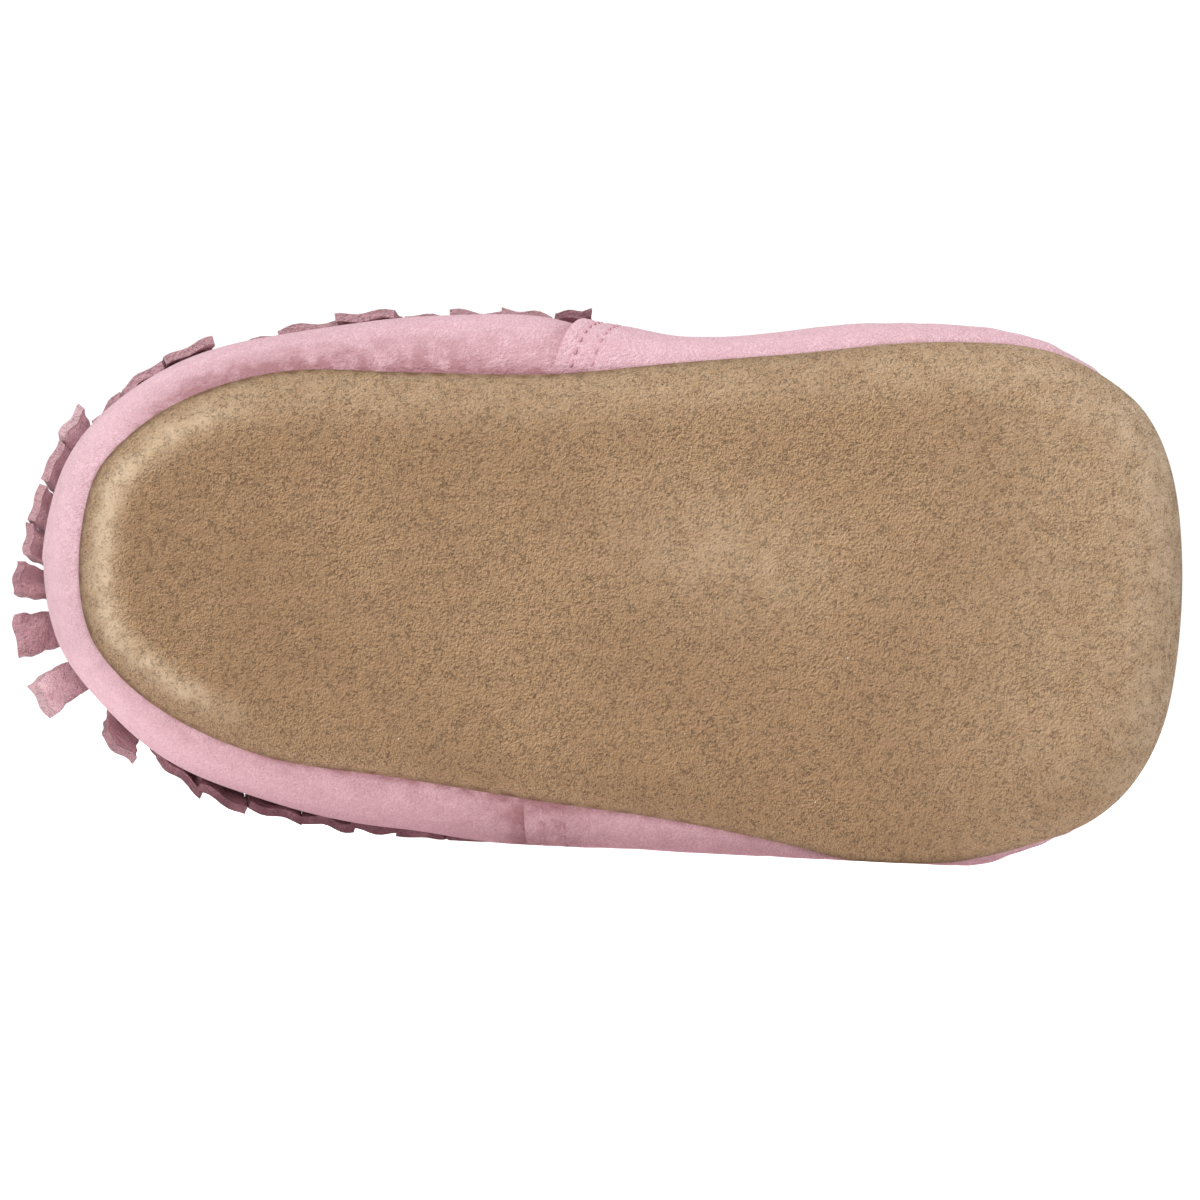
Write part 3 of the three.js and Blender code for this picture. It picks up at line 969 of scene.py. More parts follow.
@dataclass(frozen=True)
class SuedeFinish:
    """A napped leather.

    Attributes:
        name: Name of the material.
        dark: Colour of the tufts' side in painted shade.
        light: Colour of their side in painted light.
        cloudy: Colour of the clouds.
        pitted: Colour of the painted shade in the pits and slits.
        tufts: Tufts per metre.
        relief_shading: Strength of the painted light and shade on the tufts' sides.
        clouds: Clouds per metre.
        pits: How strongly pits and slits show, sunk in the bump and in painted shade.
        contrast: Contrast of the tufts.
        cloud_share: Share of the clouds' colour in them.
        grain_depth: Depth of the grain in metres.
        roughness: Roughness of the surface.
        sheen: Weight of the soft rim light.
        rubbed: Colour of worn nap and painted light, where the piece's paler mask is full.
        rubbed_share: Share of it there.
        soiled: Colour of painted shade and other darkening, where that mask is full.
        soiled_share: Share of it there.
        patch_noise: Lumps per metre, octaves and roughness of the noise that breaks masks up.
        patch_span: Values of that noise that are stretched to nought and one.
        patch_lift: What is added to it.
        specular: Level of the mirror light.
        sheen_roughness: Roughness of the soft rim light.
    """

    name: str
    dark: tuple
    light: tuple
    cloudy: tuple
    pitted: tuple
    tufts: float
    relief_shading: float = 1.6
    clouds: float = 90.0
    pits: float = 0.2
    contrast: float = 1.0
    cloud_share: float = 0.4
    grain_depth: float = 0.00005
    roughness: float = 0.95
    sheen: float = 0.15
    rubbed: tuple = (0.5, 0.5, 0.5, 1.0)
    rubbed_share: float = 0.0
    soiled: tuple = (0.3, 0.25, 0.2, 1.0)
    soiled_share: float = 0.0
    patch_noise: tuple = (420.0, 4.0, 0.6)
    patch_span: tuple = (0.25, 0.7)
    patch_lift: float = 0.35
    specular: float = 0.12
    sheen_roughness: float = 0.55

    def material(self, nap: bpy.types.NodeTree, shade: bpy.types.NodeTree) -> bpy.types.Material:
        """Builds the finish.

        Args:
            nap: Group that makes the nap.
            shade: Group that mixes the nap's colours.

        Returns:
            The new material.
        """
        material = bpy.data.materials.new(self.name)
        material.use_nodes = True
        bench = NodeBench(material.node_tree)
        fibres = bench.add("ShaderNodeGroup", node_tree=nap)
        mixer = bench.add("ShaderNodeGroup", node_tree=shade)
        bump = bench.add("ShaderNodeBump")
        shader = material.node_tree.nodes["Principled BSDF"]
        settings = (
            (fibres, {"Tufts per metre": self.tufts, "Relief shading": self.relief_shading, "Pits": self.pits,
                      "Clouds per metre": self.clouds}),
            (mixer, {"Dark": self.dark, "Light": self.light, "Cloudy": self.cloudy,
                     "Pitted": self.pitted, "Contrast": self.contrast,
                     "Cloud share": self.cloud_share}),
            (bump, {"Strength": 1.0, "Distance": self.grain_depth}),
            (shader, {"Roughness": self.roughness, "Specular IOR Level": self.specular,
                      "Sheen Weight": self.sheen, "Sheen Roughness": self.sheen_roughness}),
        )
        for node, values in settings:
            for label, value in values.items():
                node.inputs[label].default_value = value
        for label in ("Tone", "Cloud", "Pit", "Fleck"):
            bench.join(fibres.outputs[label], mixer.inputs[label])
        bench.join(self.marked(bench, mixer.outputs["Colour"]), shader.inputs["Base Color"])
        bench.join(fibres.outputs["Height"], bump.inputs["Height"])
        bench.join(bump.outputs["Normal"], shader.inputs["Normal"])
        return material

    def marked(self, bench: NodeBench, colour: bpy.types.NodeSocket) -> bpy.types.NodeSocket:
        """Mixes in the paler colour (wear, painted light) and the darker one (painted shade) by
        masks.

        Args:
            bench: Bench of the material.
            colour: Socket of the nap's colour.

        Returns:
            Socket of the mixed colour.
        """
        where = bench.add("ShaderNodeTexCoord").outputs["Object"]
        patchy = bench.span(bench.noise(*self.patch_noise, where), *self.patch_span)
        # Paler colour: worn nap and painted light; darker colour: painted shade and dark marks
        for mask, tint, share in (("rubbed", self.rubbed, self.rubbed_share),
                                  ("soiled", self.soiled, self.soiled_share)):
            if share > 0:
                value = bench.add("ShaderNodeAttribute", attribute_name=mask).outputs["Fac"]
                broken = bench.maths("ADD", patchy, self.patch_lift)
                amount = bench.maths("MULTIPLY", value, broken, clamp=True)
                colour = bench.mix(bench.maths("MULTIPLY", amount, share), colour, tint)
        return colour


@dataclass
class Finishes:
    """All the finishes of the shoe."""

    sole: bpy.types.Material = field(init=False)
    upper: bpy.types.Material = field(init=False)
    lining: bpy.types.Material = field(init=False)
    fringe: bpy.types.Material = field(init=False)
    thread: bpy.types.Material = field(init=False)

    def __post_init__(self) -> None:
        """Builds each finish from the shared node groups."""
        nap, shade = NodeGroups.nap(), NodeGroups.shade()
        # Sole: the paler colour is worn nap and painted light; the darker one is painted shade at
        # the seam and towards the floor, and darkens the heel inside its ridge
        self.sole = SuedeFinish(
            "tan_suede", linear(120, 89, 58), linear(194, 161, 126), linear(146, 114, 84),
            linear(102, 68, 34), tufts=2400.0, relief_shading=4.1, clouds=42.0, pits=0.42,
            cloud_share=0.35, grain_depth=0.00032, sheen=0.1,
            rubbed=linear(220, 194, 164), rubbed_share=0.75,
            soiled=linear(112, 78, 48), soiled_share=0.9).material(nap, shade)
        # Upper: the paler colour is painted light, with paler nap round the heel; the darker one is
        # painted shade at the seam, in the groove and by the laps
        self.upper = SuedeFinish(
            "pink_suede", linear(215, 165, 176), linear(249, 210, 219), linear(218, 169, 180),
            linear(190, 138, 150), tufts=1900.0, relief_shading=5.5, clouds=520.0, pits=0.0,
            grain_depth=0.0005, rubbed=linear(255, 210, 220), rubbed_share=0.65,
            soiled=linear(166, 112, 117), soiled_share=0.85).material(nap, shade)
        self.lining = SuedeFinish(
            "lining_leather", linear(214, 182, 166), linear(226, 196, 180), linear(220, 188, 172),
            linear(196, 162, 146), tufts=1800.0, clouds=60.0, contrast=0.6, cloud_share=0.3,
            roughness=0.8, sheen=0.1).material(nap, shade)
        # Fringe: the paler colour is paler nap and painted light; the darker one is painted shade
        # on back faces and whole strips, and darkens the strips' outlines
        self.fringe = SuedeFinish(
            "mauve_suede", linear(190, 144, 151), linear(214, 170, 176), linear(206, 162, 168),
            linear(128, 86, 96), tufts=1900.0, relief_shading=5.5, clouds=600.0, pits=0.15,
            cloud_share=0.5, grain_depth=0.0005, rubbed=linear(255, 224, 228),
            rubbed_share=0.95, soiled=linear(128, 84, 94), soiled_share=0.7).material(nap, shade)
        self.thread = SuedeFinish(
            "pink_thread", linear(192, 142, 153), linear(216, 168, 178), linear(203, 154, 164),
            linear(168, 118, 130), tufts=4200.0, clouds=300.0, roughness=0.7,
            sheen=0.2).material(nap, shade)


@dataclass
class Sole:
    """Suede sole: flat in the middle, turned up to the seam, with a heel ridge worn pale.

    Its marks run over millimetres along the foot, across it or in from the outline.
    """

    form: ShoeForm
    columns: int = 520
    edge_rows: int = 16
    flat_rows: int = 40
    first_ring: float = 0.02
    outline_samples: int = 400
    batch: int = 4000
    spine: tuple = (0.17, 0.8)
    spine_slant: float = -0.04
    # Heel ridge and waves of the flat
    ridge_inset: float = 2.9
    ridge_in_outer: Ramp = Ramp(-5.0, -15.0, 0.8)
    ridge_in_inner: Ramp = Ramp(8.0, 18.0, 0.4)
    ridge: Hump = Hump(0.0, 1.5, 0.45)
    ridge_reach: Ramp = Ramp(26.0, 8.0)
    wave_inset: Ramp = Ramp(5.0, 14.0)
    wave_height: float = 0.06
    wave_turns: tuple = (0.21, 0.17)
    wave_starts: tuple = (0.6, 0.3)
    # Paler marks: worn heel ridge and patch, painted light on the top edge and the toe
    pale_ridge: Hump = Hump(-0.4, 1.4)
    pale_reach: Ramp = Ramp(22.0, 9.0)
    pale_faint: Ramp = Ramp(6.0, 16.0, 0.45)
    patch: Hump = Hump(0.0, 7.0, 0.3)
    patch_place: tuple = (72.0, 3.0)
    patch_stretch: float = 1.8
    patch_slant: float = 0.12
    lit_top_edge: Hump = Hump(2.5, 3.5, 0.25)
    lit_top_side: Ramp = Ramp(6.0, 18.0)
    lit_toe: Ramp = Ramp(84.0, 112.0, 0.2)
    lit_toe_tip: Ramp = Ramp(111.0, 121.0, 0.3)
    # Darker marks: inside the heel ridge, and painted shade towards the floor and in the seam
    dull_heel: Ramp = Ramp(50.0, 14.0, 0.16)
    dull_inset: Ramp = Ramp(4.4, 6.5)
    seam_shade: Ramp = Ramp(0.7, 0.05)
    seam_shade_reach: Ramp = Ramp(95.0, 45.0)
    low_side_shade: Ramp = Ramp(-14.0, -27.0, 0.06)

    def build(self, finish: bpy.types.Material) -> bpy.types.Object:
        """Makes the sole.

        Args:
            finish: Its material.

        Returns:
            The new piece.
        """
        place = np.linspace(0, 2, self.columns, endpoint=False)
        grid, sweep = np.meshgrid(place, np.linspace(0, 1, self.edge_rows))
        thick = self.form.sizes.sole_thickness
        turned = self.form.sole_point(grid, sweep, 0.0)
        inner = self.form.sole_point(grid, sweep, thick)
        flat = self.flat_part(turned[0])
        under = self.relief(np.concatenate([flat, turned]))
        inside = np.concatenate([flat + np.array([0.0, thick, 0.0]), inner])[::-1]
        rings = np.concatenate([under, inside])
        rubbed, soiled = self.marks(rings)
        parts = MeshParts()
        parts.add_rings(self.form.placed(rings), Ends.ZIPPED, rubbed=rubbed, soiled=soiled)
        return dress("sole_suede", parts, finish, ("outsole",))

    def flat_part(self, rim: Points) -> Points:
        """Flat middle of the sole.

        Args:
            rim: Ring where its turned-up edge starts.

        Returns:
            Rings from the middle line out to that ring.
        """
        spine = rim.copy()
        first, last = (share * self.form.sizes.sole_length for share in self.spine)
        spine[:, 0] = np.clip(rim[:, 0], first, last)
        spine[:, 2] = self.spine_slant * (spine[:, 0] - first)
        share = np.linspace(self.first_ring, 1, self.flat_rows, endpoint=False)[:, None, None]
        return spine[None] + (rim - spine)[None] * share

    def relief(self, under: Points) -> Points:
        """Raises the heel ridge and lets the flat wave a little.

        Args:
            under: Rings of the sole's underside.

        Returns:
            The rings with their relief.
        """
        raised = under.copy()
        inset = self.inset(under)
        raised[..., 1] -= (self.ridge(inset - self.ridge_line(under))
                           * self.ridge_reach(under[..., 0]))
        (along, across), (start, side_start) = self.wave_turns, self.wave_starts
        wave = (np.sin(under[..., 0] * along + start)
                * np.cos(under[..., 2] * across + side_start))
        raised[..., 1] += self.wave_height * (1 + wave) * self.wave_inset(inset)
        return raised

    def ridge_line(self, points: Points) -> Points:
        """How far in from the outline the heel ridge runs, further in at its ends."""
        side = points[..., 2]
        return self.ridge_inset + self.ridge_in_outer(side) + self.ridge_in_inner(side)

    def inset(self, points: Points) -> Points:
        """Distance of points from the sole's outline, measured level.

        Args:
            points: Points in the shoe's own sizes.

        Returns:
            Distances in millimetres.
        """
        around = np.linspace(0, 2, self.outline_samples, endpoint=False)
        outline = self.form.edge(around)[:, [0, 2]]
        flat = points[..., [0, 2]].reshape(-1, 2)
        nearest = np.concatenate([
            np.sqrt(((part[:, None] - outline[None]) ** 2).sum(-1)).min(1)
            for part in np.array_split(flat, max(1, len(flat) // self.batch))])
        return nearest.reshape(points.shape[:-1])

    def marks(self, rings: Points) -> tuple[Points, Points]:
        """Where the sole is paler, from worn nap and painted light, and where it is darker.

        Args:
            rings: Points of the sole in the shoe's own sizes.

        Returns:
            The paler share and the darker share at each point.
        """
        x, z = rings[..., 0], rings[..., 2]
        inset = self.inset(rings)
        ridge = (self.pale_ridge(inset - self.ridge_line(rings)) * self.pale_reach(x)
                 * (1 - self.pale_faint(z)))
        run, side = x - self.patch_place[0], z - self.patch_place[1]
        patch = self.patch(np.hypot(run / self.patch_stretch, side + self.patch_slant * run))
        # Painted light on the top side's turned-up edge and towards the toe
        edge = self.lit_top_edge(inset) * self.lit_top_side(z)
        rubbed = ridge + patch + edge + self.lit_toe(x) + self.lit_toe_tip(x)
        # Darker inside the heel ridge; painted shade on the side towards the floor and in the seam
        soiled = (self.dull_heel(x) * self.dull_inset(inset) + self.low_side_shade(z)
                  + self.seam_shade(inset) * self.seam_shade_reach(x))
        return np.clip(rubbed, 0, 1), np.clip(soiled, 0, 1)


@dataclass
class Insole:
    """Lining leather that lies inside on the sole, with a softly rounded edge."""

    form: ShoeForm
    columns: int = 240
    ring_levels: tuple = (0.0, 0.35, 0.75, 1.0, 1.0, 1.0)
    ring_insets: tuple = (0.35, 0.05, 0.1, 0.55, 3.0, 9.0)

    def build(self, finish: bpy.types.Material) -> bpy.types.Object:
        """Makes the insole.

        Args:
            finish: Its material.

        Returns:
            The new piece.
        """
        sizes = self.form.sizes
        place = np.linspace(0, 2, self.columns, endpoint=False)
        bottom = sizes.sole_thickness + sizes.clearance
        rings = np.stack([self.ring(place, bottom + sizes.insole_thickness * level, inset)
                          for level, inset in zip(self.ring_levels, self.ring_insets)])
        parts = MeshParts()
        parts.add_rings(self.form.placed(rings), Ends.FANNED)
        return dress("insole_lining", parts, finish, ("insole",))

    def ring(self, place: Points, level: float, extra: float) -> Points:
        """Outline of the insole at a level, clear of the sole's turned-up edge.

        Args:
            place: Places on the loop round the sole.
            level: Height above the sole's underside.
            extra: How much further in the ring lies.

        Returns:
            Points of the ring.
        """
        sizes = self.form.sizes
        rise = self.form.seam_rise(place) * sizes.ball_width
        turn = self.form.edge_turn(place) * sizes.ball_width
        share = (rise - level) / (rise - sizes.sole_thickness)
        reach = (turn - sizes.sole_thickness) * np.sqrt(np.maximum(1 - share**2, 0))
        inset = turn - reach + 2 * sizes.clearance + extra
        point = self.form.edge(place) - self.form.outward(place) * inset[..., None]
        point[..., 1] = level
        return self.form.settle(point, sizes.sole_thickness + sizes.clearance)


@dataclass
class Upper:
    """Pink suede upper: a hollow wall whose front piece laps over the heel piece.

    Its marks run over shares: of the way from heel to toe, of the rise from the seam to
    the opening, or of the loop past the lap's edge. Folds turn in radians a loop unit.
    """

    form: ShoeForm
    columns: int = 560
    outer_rows: int = 66
    inner_rows: int = 22
    row_spacing: float = 1.15
    lap_edge: float = 0.0008
    # Rounded edge of the collar: shares of the wall, and millimetres up
    rim_depths: tuple = (0.08, 0.5, 0.92)
    rim_swells: tuple = (0.18, 0.32, 0.18)
    # Puckers, folds and stitch channels
    pucker_from: Ramp = Ramp(0.0, 0.05, 0.066)
    pucker_to: Ramp = Ramp(0.34, 0.06)
    pucker_turns: tuple = (190.0, 310.0)
    pucker_drift: tuple = (37.0, 1.3)
    fine_pucker: float = 0.6
    fine_start: float = 0.7
    fold: Ramp = Ramp(0.1, 0.5, 0.12)
    fold_to: Ramp = Ramp(1.0, 0.8)
    fold_turns: tuple = (52.0, 6.0)
    row_width: float = 0.0026
    row_depth: Ramp = Ramp(0.01, 0.05, 0.26)
    # Painted shade: at the sole seam, in the groove, behind and under the laps, towards the floor
    seam_shade: Ramp = Ramp(0.045, 0.005, 0.85)
    groove_shade: Ramp = Ramp(0.24, 0.02, 0.95)
    groove_from: Ramp = Ramp(0.1, 0.22)
    groove_to: Ramp = Ramp(0.5, 0.34)
    outer_groove: float = 0.35
    lap_edge_shade: Hump = Hump(0.0, 0.009, 0.6)
    outer_side_shade: Ramp = Ramp(0.36, 0.44, 0.16)
    outer_lap_shade: Hump = Hump(0.01, 0.03, 0.34)
    # Painted light round the heel, along the big-toe side and on the lap's edge; paler heel nap
    heel_wear_and_light: Ramp = Ramp(0.3, 0.12, 0.7)
    heel_wear_and_light_rise: Ramp = Ramp(0.03, 0.16)
    top_side_light: Ramp = Ramp(0.42, 0.55, 0.3)
    top_side_light_rise: Ramp = Ramp(0.02, 0.12)
    lap_edge_light: Hump = Hump(0.0035, 0.0035, 0.6)

    def build(self, finish: bpy.types.Material) -> bpy.types.Object:
        """Makes the upper.

        Args:
            finish: Its material.

        Returns:
            The new piece.
        """
        place, form = self.places(), self.form
        wall = form.sizes.wall
        grid, rise = np.meshgrid(place, np.linspace(0, 1, self.outer_rows) ** self.row_spacing)
        outer = form.off_wall(grid, rise, form.lap_lift(grid, rise) + self.creases(grid, rise))
        rim_grid, depth = np.meshgrid(place, np.array(self.rim_depths) * wall)
        rim = form.off_wall(rim_grid, np.ones_like(rim_grid), -depth)
        rim[..., 1] += np.array(self.rim_swells)[:, None]
        grid_in, rise_in = np.meshgrid(place, np.linspace(1, 0, self.inner_rows))
        inner = form.off_wall(grid_in, rise_in, np.full_like(rise_in, -wall))
        plain = np.zeros((len(self.rim_depths) + self.inner_rows, len(place)))
        parts = MeshParts()
        parts.add_rings(form.placed(np.concatenate([outer, rim, inner])), Ends.JOINED,
                        soiled=np.concatenate([self.shadowed(grid, rise), plain]),
                        rubbed=np.concatenate([self.lit_and_worn(grid, rise), plain]))
        return dress("upper_suede", parts, finish, ("upper",))

    def places(self) -> Points:
        """Columns round the sole, with a close pair at each lap's edge.

        Returns:
            Their places, in order.
        """
        even = np.linspace(0, 2, self.columns, endpoint=False)
        laps = np.array([self.form.laps[1], self.form.laps[1] + self.lap_edge,
                         2 + self.form.laps[0] - self.lap_edge, 2 + self.form.laps[0]])
        clear = even[np.abs(even[:, None] - laps[None]).min(1) > 2 * self.lap_edge]
        return np.sort(np.concatenate([clear, laps]))

    def creases(self, place: Points, rise: Points) -> Points:
        """Puckers along the sole seam, soft folds of the worn-in wall, and stitch channels.

        Args:
            place: Places on the loop round the sole.
            rise: Rises from the seam (0) to the opening (1).

        Returns:
            How far the surface stands out there, in millimetres.
        """
        (coarse, fine), (slow, drift) = self.pucker_turns, self.pucker_drift
        ripple = (np.sin(place * coarse + drift * np.sin(place * slow))
                  + self.fine_pucker * np.sin(place * fine + self.fine_start))
        puckers = ripple * self.pucker_from(rise) * self.pucker_to(rise)
        around, climb = self.fold_turns
        folds = np.sin(place * around + climb * rise) * self.fold(rise) * self.fold_to(rise)
        past = self.form.past_lap(place)
        rows = sum(Hump(row, self.row_width)(past) for row in STITCH_ROWS)
        return puckers + folds - rows * self.row_depth(rise)

    def shadowed(self, place: Points, rise: Points) -> Points:
        """Painted shade: at the seam, in its groove, behind and under the laps, towards the floor.

        Args:
            place: Places on the loop round the sole.
            rise: Rises from the seam (0) to the opening (1).

        Returns:
            The painted shade's share there.
        """
        from_heel = np.abs(self.form.signed(place))
        past = self.form.past_lap(place)
        # Painted shade in the groove, behind and under the laps and on the outer side
        groove = (self.groove_shade(rise) * self.groove_from(from_heel) * self.groove_to(from_heel)
                  * np.where(place > 1, self.outer_groove, 1.0))
        behind = np.where(past <= 0, self.lap_edge_shade(past), 0.0)
        outer = np.where(place > 1, self.outer_side_shade(from_heel) + self.outer_lap_shade(past), 0.0)
        return np.clip(self.seam_shade(rise) + groove + behind + outer, 0, 1)

    def lit_and_worn(self, place: Points, rise: Points) -> Points:
        """Painted light round the heel, along the big-toe side and on the lap's edge; paler heel
        nap.

        Args:
            place: Places on the loop round the sole.
            rise: Rises from the seam (0) to the opening (1).

        Returns:
            The paler share there.
        """
        from_heel = np.abs(self.form.signed(place))
        # Painted light, with paler nap round the heel
        heel = self.heel_wear_and_light(from_heel) * self.heel_wear_and_light_rise(rise)
        front = np.where(place < 1, self.top_side_light(from_heel), 0.0) * self.top_side_light_rise(rise)
        return np.clip(heel + front + self.lap_edge_light(self.form.past_lap(place)), 0, 1)


@dataclass(frozen=True)
class Strip:
    """One strip of the fringe.

    Attributes:
        reach: How far its tip stands off the upper, share of the ball width.
        twist: How much more it does so on its far edge, share of that.
        swing: How far its tip swings round the heel, share of the fringe.
        tip: Share of the wall's rise that it hangs down to.
        shade: How much painted shade darkens it.
        pale: How much paler it is, from worn nap and painted light where it faces from the lamp.
    """

    reach: float = 0.0
    twist: float = 0.0
    swing: float = 0.0
    tip: float = 0.5
    shade: float = 0.0
    pale: float = 0.0


# From the outer side's lap round the heel to the big-toe side's lap
# The fifth column of each strip is painted shade, the sixth paler nap and painted light
STRIPS = (
    Strip(0.04, 0, 0, 0.54, 0.7),
    Strip(0.03, 0, 0, 0.54, 0.6),
    Strip(0.01, 0, -0.004, 0.54, 0.6),
    Strip(0.004, 0, -0.01, 0.54, 0.6),
    Strip(0.007, 0, -0.016, 0.54, 0.5),
    Strip(0.01, 0, -0.02, 0.54, 0.5),
    Strip(0.017, -0.4, -0.026, 0.54, 0.4),
    Strip(0.012, -1, -0.034, 0.57, 0.3),
    Strip(0.033, 0, -0.024, 0.55, 0.0, 0.45),
    Strip(0.089, 0, 0.012, 0.55, 0.0, 0.7),
    Strip(0.073, -0.1, 0.024, 0.55, 0.18),
    Strip(0.054, -0.1, 0.034, 0.55, 0.12),
    Strip(0.035, 0, 0.034, 0.55, 0.0, 0.15),
    Strip(0.032, 0, 0.03, 0.55, 0.0, 0.3),
    Strip(0.033, 0, 0.028, 0.55, 0.0, 0.3),
    Strip(0.042, 0, 0.024, 0.55, 0.0, 0.8),
    Strip(0.002, 1, 0.018, 0.55, 0.0, 0.25),
    Strip(0, 0, 0.018, 0.5, 0.0, 0.25),
    Strip(0.006, 0.4, 0.018, 0.5, 0.0, 0.25),
    Strip(0, 0, 0.012, 0.68, 0.0, 0.25),
    Strip(0, 0, 0.01, 0.6, 0.0, 0.25),
    Strip(0.002, 0, 0.01, 0.52, 0.0, 0.25),
    Strip(0, 0, 0.008, 0.6, 0.0, 0.25),
    Strip(0.002, 0, 0.004, 0.54, 0.0, 0.25),
    Strip(0.003, 0, 0.002, 0.5, 0.0, 0.25),
    Strip(0.026, 0.6, 0, 0.5, 1.0),
)


@dataclass(frozen=True)
class Wave:
    """Waves along a strip that grow and shrink across it, and differ from strip to strip.

    Attributes:
        height: Their height.
        turns: Radians down the strip.
        strip_turns: Radians from strip to strip.
        cross: Radians from a strip's middle to its edge.
        cross_drop: Radians down the strip for the second wave.
        cross_strip: Radians from strip to strip for the second wave.
    """

    height: float
    turns: float
    strip_turns: float
    cross: float
    cross_drop: float
    cross_strip: float

    def __call__(self, drop: Points, side: Points, index: int) -> Points:
        """Height of the waves.

        Args:
            drop: 0 at the collar and 1 at the tips.
            side: From -1 to 1 across the strip.
            index: Number of the strip.

        Returns:
            The height at each point.
        """
        second = np.sin(drop * self.cross_drop + side * self.cross + index * self.cross_strip)
        return self.height * np.sin(drop * self.turns + index * self.strip_turns) * second


@dataclass
class Fringe:
    """Header strip round the heel's collar, cut into strips that hang and splay.

    Marks run over the drop from the collar (0) to the tips (1), or across a strip.
    """

    form: ShoeForm
    # Share of a strip's room that it fills, where it splays and where it lies close
    fill: float = 0.82
    close_fill: float = 0.95
    splayed: Ramp = Ramp(0.0, 0.02)
    header: float = 0.2
    header_rows: int = 8
    # Painted shade on the header's back face, which faces the wall
    header_back_shade: float = 0.9
    tuck: float = 0.9
    bend_from: float = 0.5
    ripple: float = 0.003
    ripple_turns: tuple = (3.1, 60.0)
    rippled: Ramp = Ramp(0.6, 0.9)
    ragged: Wave = Wave(0.11, 41.0, 2.3, 1.4, 17.0, 1.0)
    uneven: Wave = Wave(0.13, 29.0, 1.0, 3.0, 0.0, 1.7)
    uneven_from: float = 0.3
    # Painted shade on the strips' back faces, deeper towards the collar
    inner_face_shade: Ramp = Ramp(0.95, 0.6, 0.35)
    edge: Ramp = Ramp(0.86, 1.0)
    tip_edge: Ramp = Ramp(0.985, 1.0)
    dull_edge: float = 0.45
    columns: int = 420
    strip_rows: int = 34
    strip_columns: int = 13

    def build(self, finish: bpy.types.Material) -> bpy.types.Object:
        """Makes the header and the strips as one piece.

        Args:
            finish: Its material.

        Returns:
            The new piece.
        """
        parts = MeshParts()
        self.add_header(parts)
        for index, strip in enumerate(STRIPS):
            self.add_strip(parts, strip, index)
        return dress("fringe_suede", parts, finish, ("heel_fringe",))

    def point(self, strip: Strip, at: Points, side: Points, drop: Points, depth: Points) -> Points:
        """Points of a strip.

        Args:
            strip: The strip.
            at: Shares along the fringe.
            side: From -1 to 1 across the strip.
            drop: 0 at the collar and 1 at the tips.
            depth: Depth into the leather from its outer face, in millimetres.

        Returns:
            The points in the shoe's own sizes.
        """
        form, sizes = self.form, self.form.sizes
        first, last = form.laps[0] + sizes.fringe_inset, form.laps[1] - sizes.fringe_inset
        place = np.mod(first + (last - first) * (at + strip.swing * drop**2), 2.0)
        rise = sizes.fringe_top + (strip.tip - sizes.fringe_top) * drop
        bend = np.maximum((drop - self.bend_from) / (1 - self.bend_from), 0) ** 2
        across, along = self.ripple_turns
        ripple = self.ripple * np.sin(across * side + along * at) * self.rippled(drop)
        reach = (strip.reach * (1 + strip.twist * side) * bend + ripple) * sizes.ball_width
        point = form.off_wall(place, rise, sizes.clearance + sizes.fringe_thickness - depth)
        point = point + form.outward(form.leaned(place, rise)) * reach[..., None]
        return form.settle(point, depth)

    def add_header(self, parts: MeshParts) -> None:
        """Adds the uncut band along the collar.

        Args:
            parts: Skins that it goes to.
        """
        drops = np.linspace(0, self.header, self.header_rows)
        section = np.concatenate([drops, drops[::-1]])
        depth = np.repeat([0.0, self.form.sizes.fringe_thickness], self.header_rows)
        at, drop = np.meshgrid(np.linspace(0, 1, self.columns), section, indexing="ij")
        depths = np.broadcast_to(depth, at.shape)
        rings = self.point(Strip(), at, np.zeros_like(at), drop, depths)
        # Painted shade on the header's back face
        parts.add_rings(self.form.placed(rings), Ends.FANNED, rubbed=np.zeros_like(at),
                        soiled=np.where(depths > 0, self.header_back_shade, 0.0))

    def add_strip(self, parts: MeshParts, strip: Strip, index: int) -> None:
        """Adds one strip, with ragged edges and an uneven thickness.

        Args:
            parts: Skins that it goes to.
            strip: The strip.
            index: Its number along the fringe.
        """
        sides = np.sin(np.linspace(-1, 1, self.strip_columns) * np.pi / 2)
        section = np.concatenate([sides, sides[::-1]])
        depth = np.repeat([0.0, self.form.sizes.fringe_thickness], self.strip_columns)
        top = self.header * self.tuck
        drops = top + (1 - top) * np.sin(np.linspace(0, np.pi / 2, self.strip_rows))
        drop, side = np.meshgrid(drops, section, indexing="ij")
        splayed = self.splayed(strip.reach)
        fill = self.close_fill + (self.fill - self.close_fill) * splayed
        width = 1 + self.ragged(drop, side, index) * splayed
        at = (index + 0.5 + side * (fill / 2) * width) / len(STRIPS)
        level = np.broadcast_to(depth, at.shape)
        depths = level + self.uneven(drop, side, index) * (drop > self.uneven_from)
        rings = self.point(strip, at, side, drop, depths)
        outline = np.maximum(self.edge(np.abs(side)), self.tip_edge(drop))
        # Painted shade on back faces and per strip, with darker outlines; paler nap and painted
        # light per strip
        soiled = (np.where(level > 0, self.inner_face_shade(drop), 0.0) + strip.shade
                  + self.dull_edge * outline)
        parts.add_rings(self.form.placed(rings), Ends.FANNED, soiled=soiled,
                        rubbed=np.full(at.shape, strip.pale))


